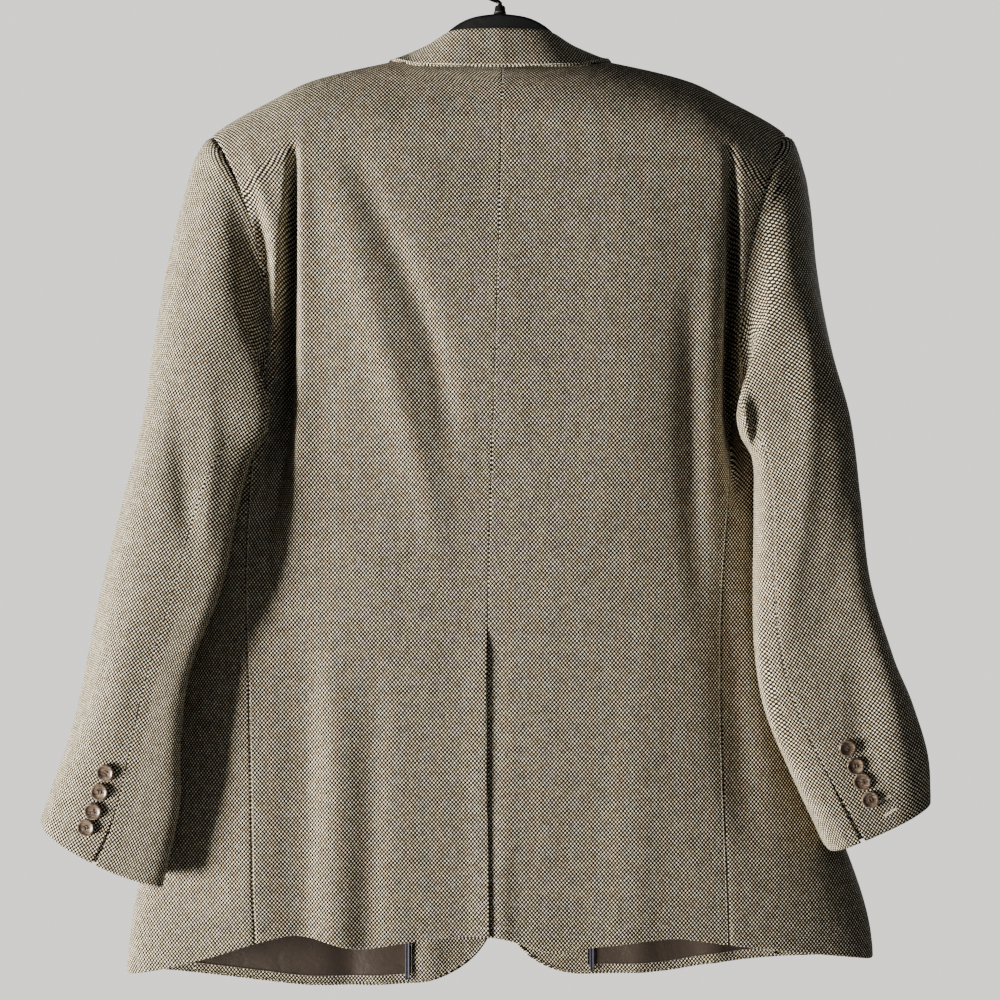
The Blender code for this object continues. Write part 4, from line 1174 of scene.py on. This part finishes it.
for side, name in SIDES:
    stitches("hind_seam_stitches_" + name, partial(hind_route, side), 0.3, SLIT - 0.01, 2.4, 0.8, 0.34,
             (side * 290, -20, -500))
    panel("tweed_cuff_underlap_" + name, partial(cuff_underlap, side), spaced(19, 3), spaced(76), None,
          edges=(None, "fold", None, "fold"), core=(side * 330, 0, -740), thickness=1.2)


# ---------------------------------------------------------------- collar
# One folded piece of tweed: the stand rises from the neck seam and turns over, and the leaf falls on the
# shoulders. A row of cream stitches runs along its edge.

COLLAR = table(
    "v foot_x foot_y foot_drop fold_x fold_y fold_drop edge_x edge_y edge_drop",
    (0, 0, 42, 105, 0, 47, 82, 0, 56, 114),
    (0.25, 42, 34, 102, 38, 40, 82, 52, 51, 112),
    (0.45, 76, 12, 97, 58, 18, 84, 90, 27, 105),
    (0.6, 80, -8, 97, 64, -9, 87, 100, -8, 96),
    (0.75, 72, -36, 110, 62, -38, 100, 104, -46, 118),
    (1, 60, -66, 156, 55, -72, 150, 100, -80, 196),
)
FOLD_SIZE = 3.4          # half of the folded edge's thickness
COLLAR_GAP = 1.0         # under the leaf where it lies on the shoulders
STAND_SHARE = 0.3        # shares of the collar's width spent on the stand, and on the stand with its fold
FOLD_SHARE = 0.5


def outside(point, gap):
    """The point, pushed out across the shoulder's roll where it is nearer to the cloth than the gap."""
    face = BACK if point.y > 0 else FRONT
    low = ridge(point.x) + SHOULDER_ROLL
    depth = abs(on_body(face, point.x, low).y) / MM
    above = max(low + point.z, 0)
    reach = sqrt((point.y / depth) ** 2 + (above / SHOULDER_ROLL) ** 2)
    least = 1 + gap * 2 / (depth + SHOULDER_ROLL)
    if reach >= least:
        return point
    return Vector((point.x, point.y * least / reach, above * least / reach - low if above else point.z))


def collar(s, t):
    """Outer face of the collar: s round the neck from right to left, t up the stand and down the leaf."""
    v = 2 * s - 1
    side = LEFT if v >= 0 else RIGHT
    row = read(COLLAR, abs(v))
    foot = Vector((side * row.foot_x, row.foot_y, -row.foot_drop))
    fold = Vector((side * row.fold_x, row.fold_y, -row.fold_drop))
    leaf = Vector((side * row.edge_x, row.edge_y, -row.edge_drop))
    fall = (foot + leaf - fold * 2).normalized()
    outwards = leaf - foot
    outwards = (outwards - fall * outwards.dot(fall)).normalized()
    if t <= STAND_SHARE:
        return foot.lerp(fold - outwards * FOLD_SIZE, t / STAND_SHARE) * MM
    if t >= FOLD_SHARE:
        lying = (fold + outwards * FOLD_SIZE).lerp(leaf, (t - FOLD_SHARE) / (1 - FOLD_SHARE))
        return outside(lying, CLOTH + COLLAR_GAP) * MM
    swing = pi * (t - STAND_SHARE) / (FOLD_SHARE - STAND_SHARE)
    return (fold - (outwards * cos(swing) + fall * sin(swing)) * FOLD_SIZE) * MM


panel("tweed_collar", collar, spaced(430), even(30), "collar", grain=None,
      edges=("fold", "fold", "seam", "fold"), core=(0, 0, -140))
stitches("collar_edge_stitches", lambda u, aside: collar(u, 0.975 - aside * 0.01), 0.004, 0.996, 3.1, 1.4,
         0.65, (0, 0, -140))


# ---------------------------------------------------------------- buttons
# Four kissing horn buttons on each cuff and two larger ones on the wearer's right front: turned horn
# with a rolled rim, a dished middle and four holes, sewn on with brown thread.

CUFF_BUTTON = 15
CUFF_BUTTON_HEIGHT = 3
CUFF_BUTTON_STEP = 16.7
CUFF_BUTTON_FIRST = {LEFT: 26, RIGHT: 32}    # from the cuff's edge to the lowest button
CUFF_BUTTON_INSET = {LEFT: 15, RIGHT: 18.5}    # from the slit to the buttons' middles
FRONT_BUTTON = 20
FRONT_BUTTON_HEIGHT = 4
FRONT_BUTTON_DROPS = (512, 612)
FRONT_BUTTON_X = -20
BUTTON_GAP = 0.7
HOLE_AWAY = 0.115        # shares of a button's diameter: from its middle to a hole's, and a hole's radius
HOLE_RADIUS = 0.06

# Polished horn: warm brown with paler streaks that run through it, under a satin polish.
horn, shader = surface_of("polished_horn", 0.3, IOR=1.54, Coat_Weight=0.2)
place = add(horn, "ShaderNodeTexCoord").outputs["Object"]
stretched = add(horn, "ShaderNodeMapping", {"Vector": place, "Scale": (160.0, 160.0, 420.0)})
streaks = noisy(horn, 1.0, 5.0, Vector=stretched.outputs[0], Distortion=1.2)
ramp = add(horn, "ShaderNodeValToRGB", {"Fac": streaks})
for at, code in ((0.32, "#2C2018"), (0.52, "#57463A"), (0.72, "#93816D")):
    stop = ramp.color_ramp.elements.new(at)
    stop.color = linear(code)
for stop in (ramp.color_ramp.elements[-1], ramp.color_ramp.elements[0]):
    ramp.color_ramp.elements.remove(stop)
link(horn, shader, Base_Color=ramp.outputs["Color"])

# Polyester sewing thread, brown: two plies, slightly lustrous.
thread, shader = surface_of("sewing_thread_brown", 0.6, Sheen_Weight=0.3)
place = add(thread, "ShaderNodeTexCoord").outputs["Object"]
plies = add(thread, "ShaderNodeTexWave", {"Vector": place, "Scale": 900.0, "Distortion": 1.0},
            bands_direction="DIAGONAL")
link(thread, shader, Base_Color=blend(thread, plies.outputs["Fac"], linear("#3A2A1E"), linear("#6B5340")))


def button_mesh(diameter, height):
    """A turned button about the origin, its face up: spun from its profile, with four holes cut through."""
    half = diameter / 2
    outline = [(0, 0), (0.75, 0), (0.92, 0.12), (0.985, 0.34), (1, 0.55), (0.985, 0.78), (0.93, 0.95),
               (0.85, 1), (0.77, 0.95), (0.7, 0.8), (0.6, 0.7), (0.3, 0.66), (0, 0.65)]
    mesh = lathed([(half * x, height * z) for x, z in outline], 48, 1e-4)
    solid = placed("button_blank", bpy.data.meshes.new("button_blank"))
    mesh.to_mesh(solid.data)
    mesh.free()
    mesh = bmesh.new()
    for turn in (45, 135, 225, 315):
        hole = Vector((cos(radians(turn)), sin(radians(turn)), 0)) * diameter * HOLE_AWAY
        radius = diameter * HOLE_RADIUS
        bmesh.ops.create_cone(mesh, cap_ends=True, segments=16, radius1=radius, radius2=radius,
                              depth=height * 4, matrix=Matrix.Translation(hole))
    drill = placed("drill", bpy.data.meshes.new("drill"))
    mesh.to_mesh(drill.data)
    mesh.free()
    cutting = solid.modifiers.new("holes", "BOOLEAN")
    cutting.object = drill
    cutting.solver = "EXACT"
    cut = solid.evaluated_get(bpy.context.evaluated_depsgraph_get())
    blank = bpy.data.meshes.new_from_object(cut)
    for item in (solid, drill):
        bpy.data.objects.remove(item, do_unlink=True)
    return blank


def sew_on(node, blank, place, normal, height, diameter, turn):
    """Places a button and its thread: two bars over the holes, and the shank under it."""
    facing = normal.to_track_quat("Z", "Y").to_matrix().to_4x4() @ Matrix.Rotation(turn, 4, "Z")
    stand = Matrix.Translation(place + normal * BUTTON_GAP * MM) @ facing @ Matrix.Scale(MM, 4)
    mesh = bmesh.new()
    mesh.from_mesh(blank)
    mesh.transform(stand)
    made = finished("horn_" + node, mesh, horn, node)
    made.data.set_sharp_from_angle(angle=radians(35))
    mesh = bmesh.new()
    hole = diameter * HOLE_AWAY * cos(radians(45))    # how far aside the holes lie
    bar = Matrix.Diagonal((0.24, hole * 1.5, 0.4, 1))
    for aside in (-hole, hole):
        for strand in (-0.35, 0, 0.35):
            place = Matrix.Translation((aside + strand, 0, height * 0.72))
            bmesh.ops.create_icosphere(mesh, subdivisions=2, radius=1, matrix=place @ bar)
    bmesh.ops.create_cone(mesh, cap_ends=True, segments=12, radius1=diameter * 0.14, radius2=diameter * 0.12,
                          depth=BUTTON_GAP * 1.6, matrix=Matrix.Translation((0, 0, -BUTTON_GAP / 2)))
    mesh.transform(stand)
    finished("horn_" + node + "_thread", mesh, thread, None)


def button_line(side, along):
    """The angle round the sleeve at which the cuff buttons are sewn."""
    return hind(side, along) - degrees(CUFF_BUTTON_INSET[side] / SLEEVE_RADIUS)


def beside_slit(side, along, aside=0.0):
    """A point of the line on which the cuff buttons are sewn, or so many degrees beside it."""
    return sleeve_point(side, button_line(side, along) + aside, along)


def cuff_place(side, distance):
    """Where on the sleeve a button is sewn, a distance above the cuff's edge, and the way it faces."""
    along, walked = 1.0, 0.0
    step = 0.004
    while walked < distance * MM:
        walked += (beside_slit(side, along) - beside_slit(side, along - step)).length
        along -= step
    ahead = beside_slit(side, along + step) - beside_slit(side, along - step)
    around = beside_slit(side, along, 4) - beside_slit(side, along, -4)
    normal = ahead.cross(around).normalized()
    if normal.y < 0:
        normal.negate()
    return beside_slit(side, along), normal


blank = button_mesh(CUFF_BUTTON, CUFF_BUTTON_HEIGHT)
for side, name in SIDES:
    for index in range(4):
        place, normal = cuff_place(side, CUFF_BUTTON_FIRST[side] + CUFF_BUTTON_STEP * index)
        node = f"cuff_button_{name}_{index + 1}"
        sew_on(node, blank, place, normal, CUFF_BUTTON_HEIGHT, CUFF_BUTTON, 0.5 + 1.3 * index)


def sham_hole(distance, across, u, aside):
    """A side of a sham buttonhole on the right cuff: out from beside a button, level with it."""
    along = 1 - distance / SLEEVE_LONG
    lean = u * 0.0006
    return sleeve_point(RIGHT, button_line(RIGHT, along) - u, along - lean + (across + aside) / SLEEVE_LONG)


for index in range(2):
    distance = CUFF_BUTTON_FIRST[RIGHT] - CUFF_BUTTON_STEP * index
    for row, across in (("upper", -0.9), ("lower", 0.9)):
        stitches(f"sham_buttonhole_{index + 1}_{row}", partial(sham_hole, distance, across), 6, 19, 1.1, 1.3,
                 0.5, (-330, 0, -740))

blank = button_mesh(FRONT_BUTTON, FRONT_BUTTON_HEIGHT)
for index, drop in enumerate(FRONT_BUTTON_DROPS):
    place = on_body(FRONT, FRONT_BUTTON_X, drop)
    normal = (lifted(FRONT, FRONT_BUTTON_X, drop, 1) - place).normalized()
    node = f"front_button_{index + 1}"
    sew_on(node, blank, place, normal, FRONT_BUTTON_HEIGHT, FRONT_BUTTON, 0.4 + index)
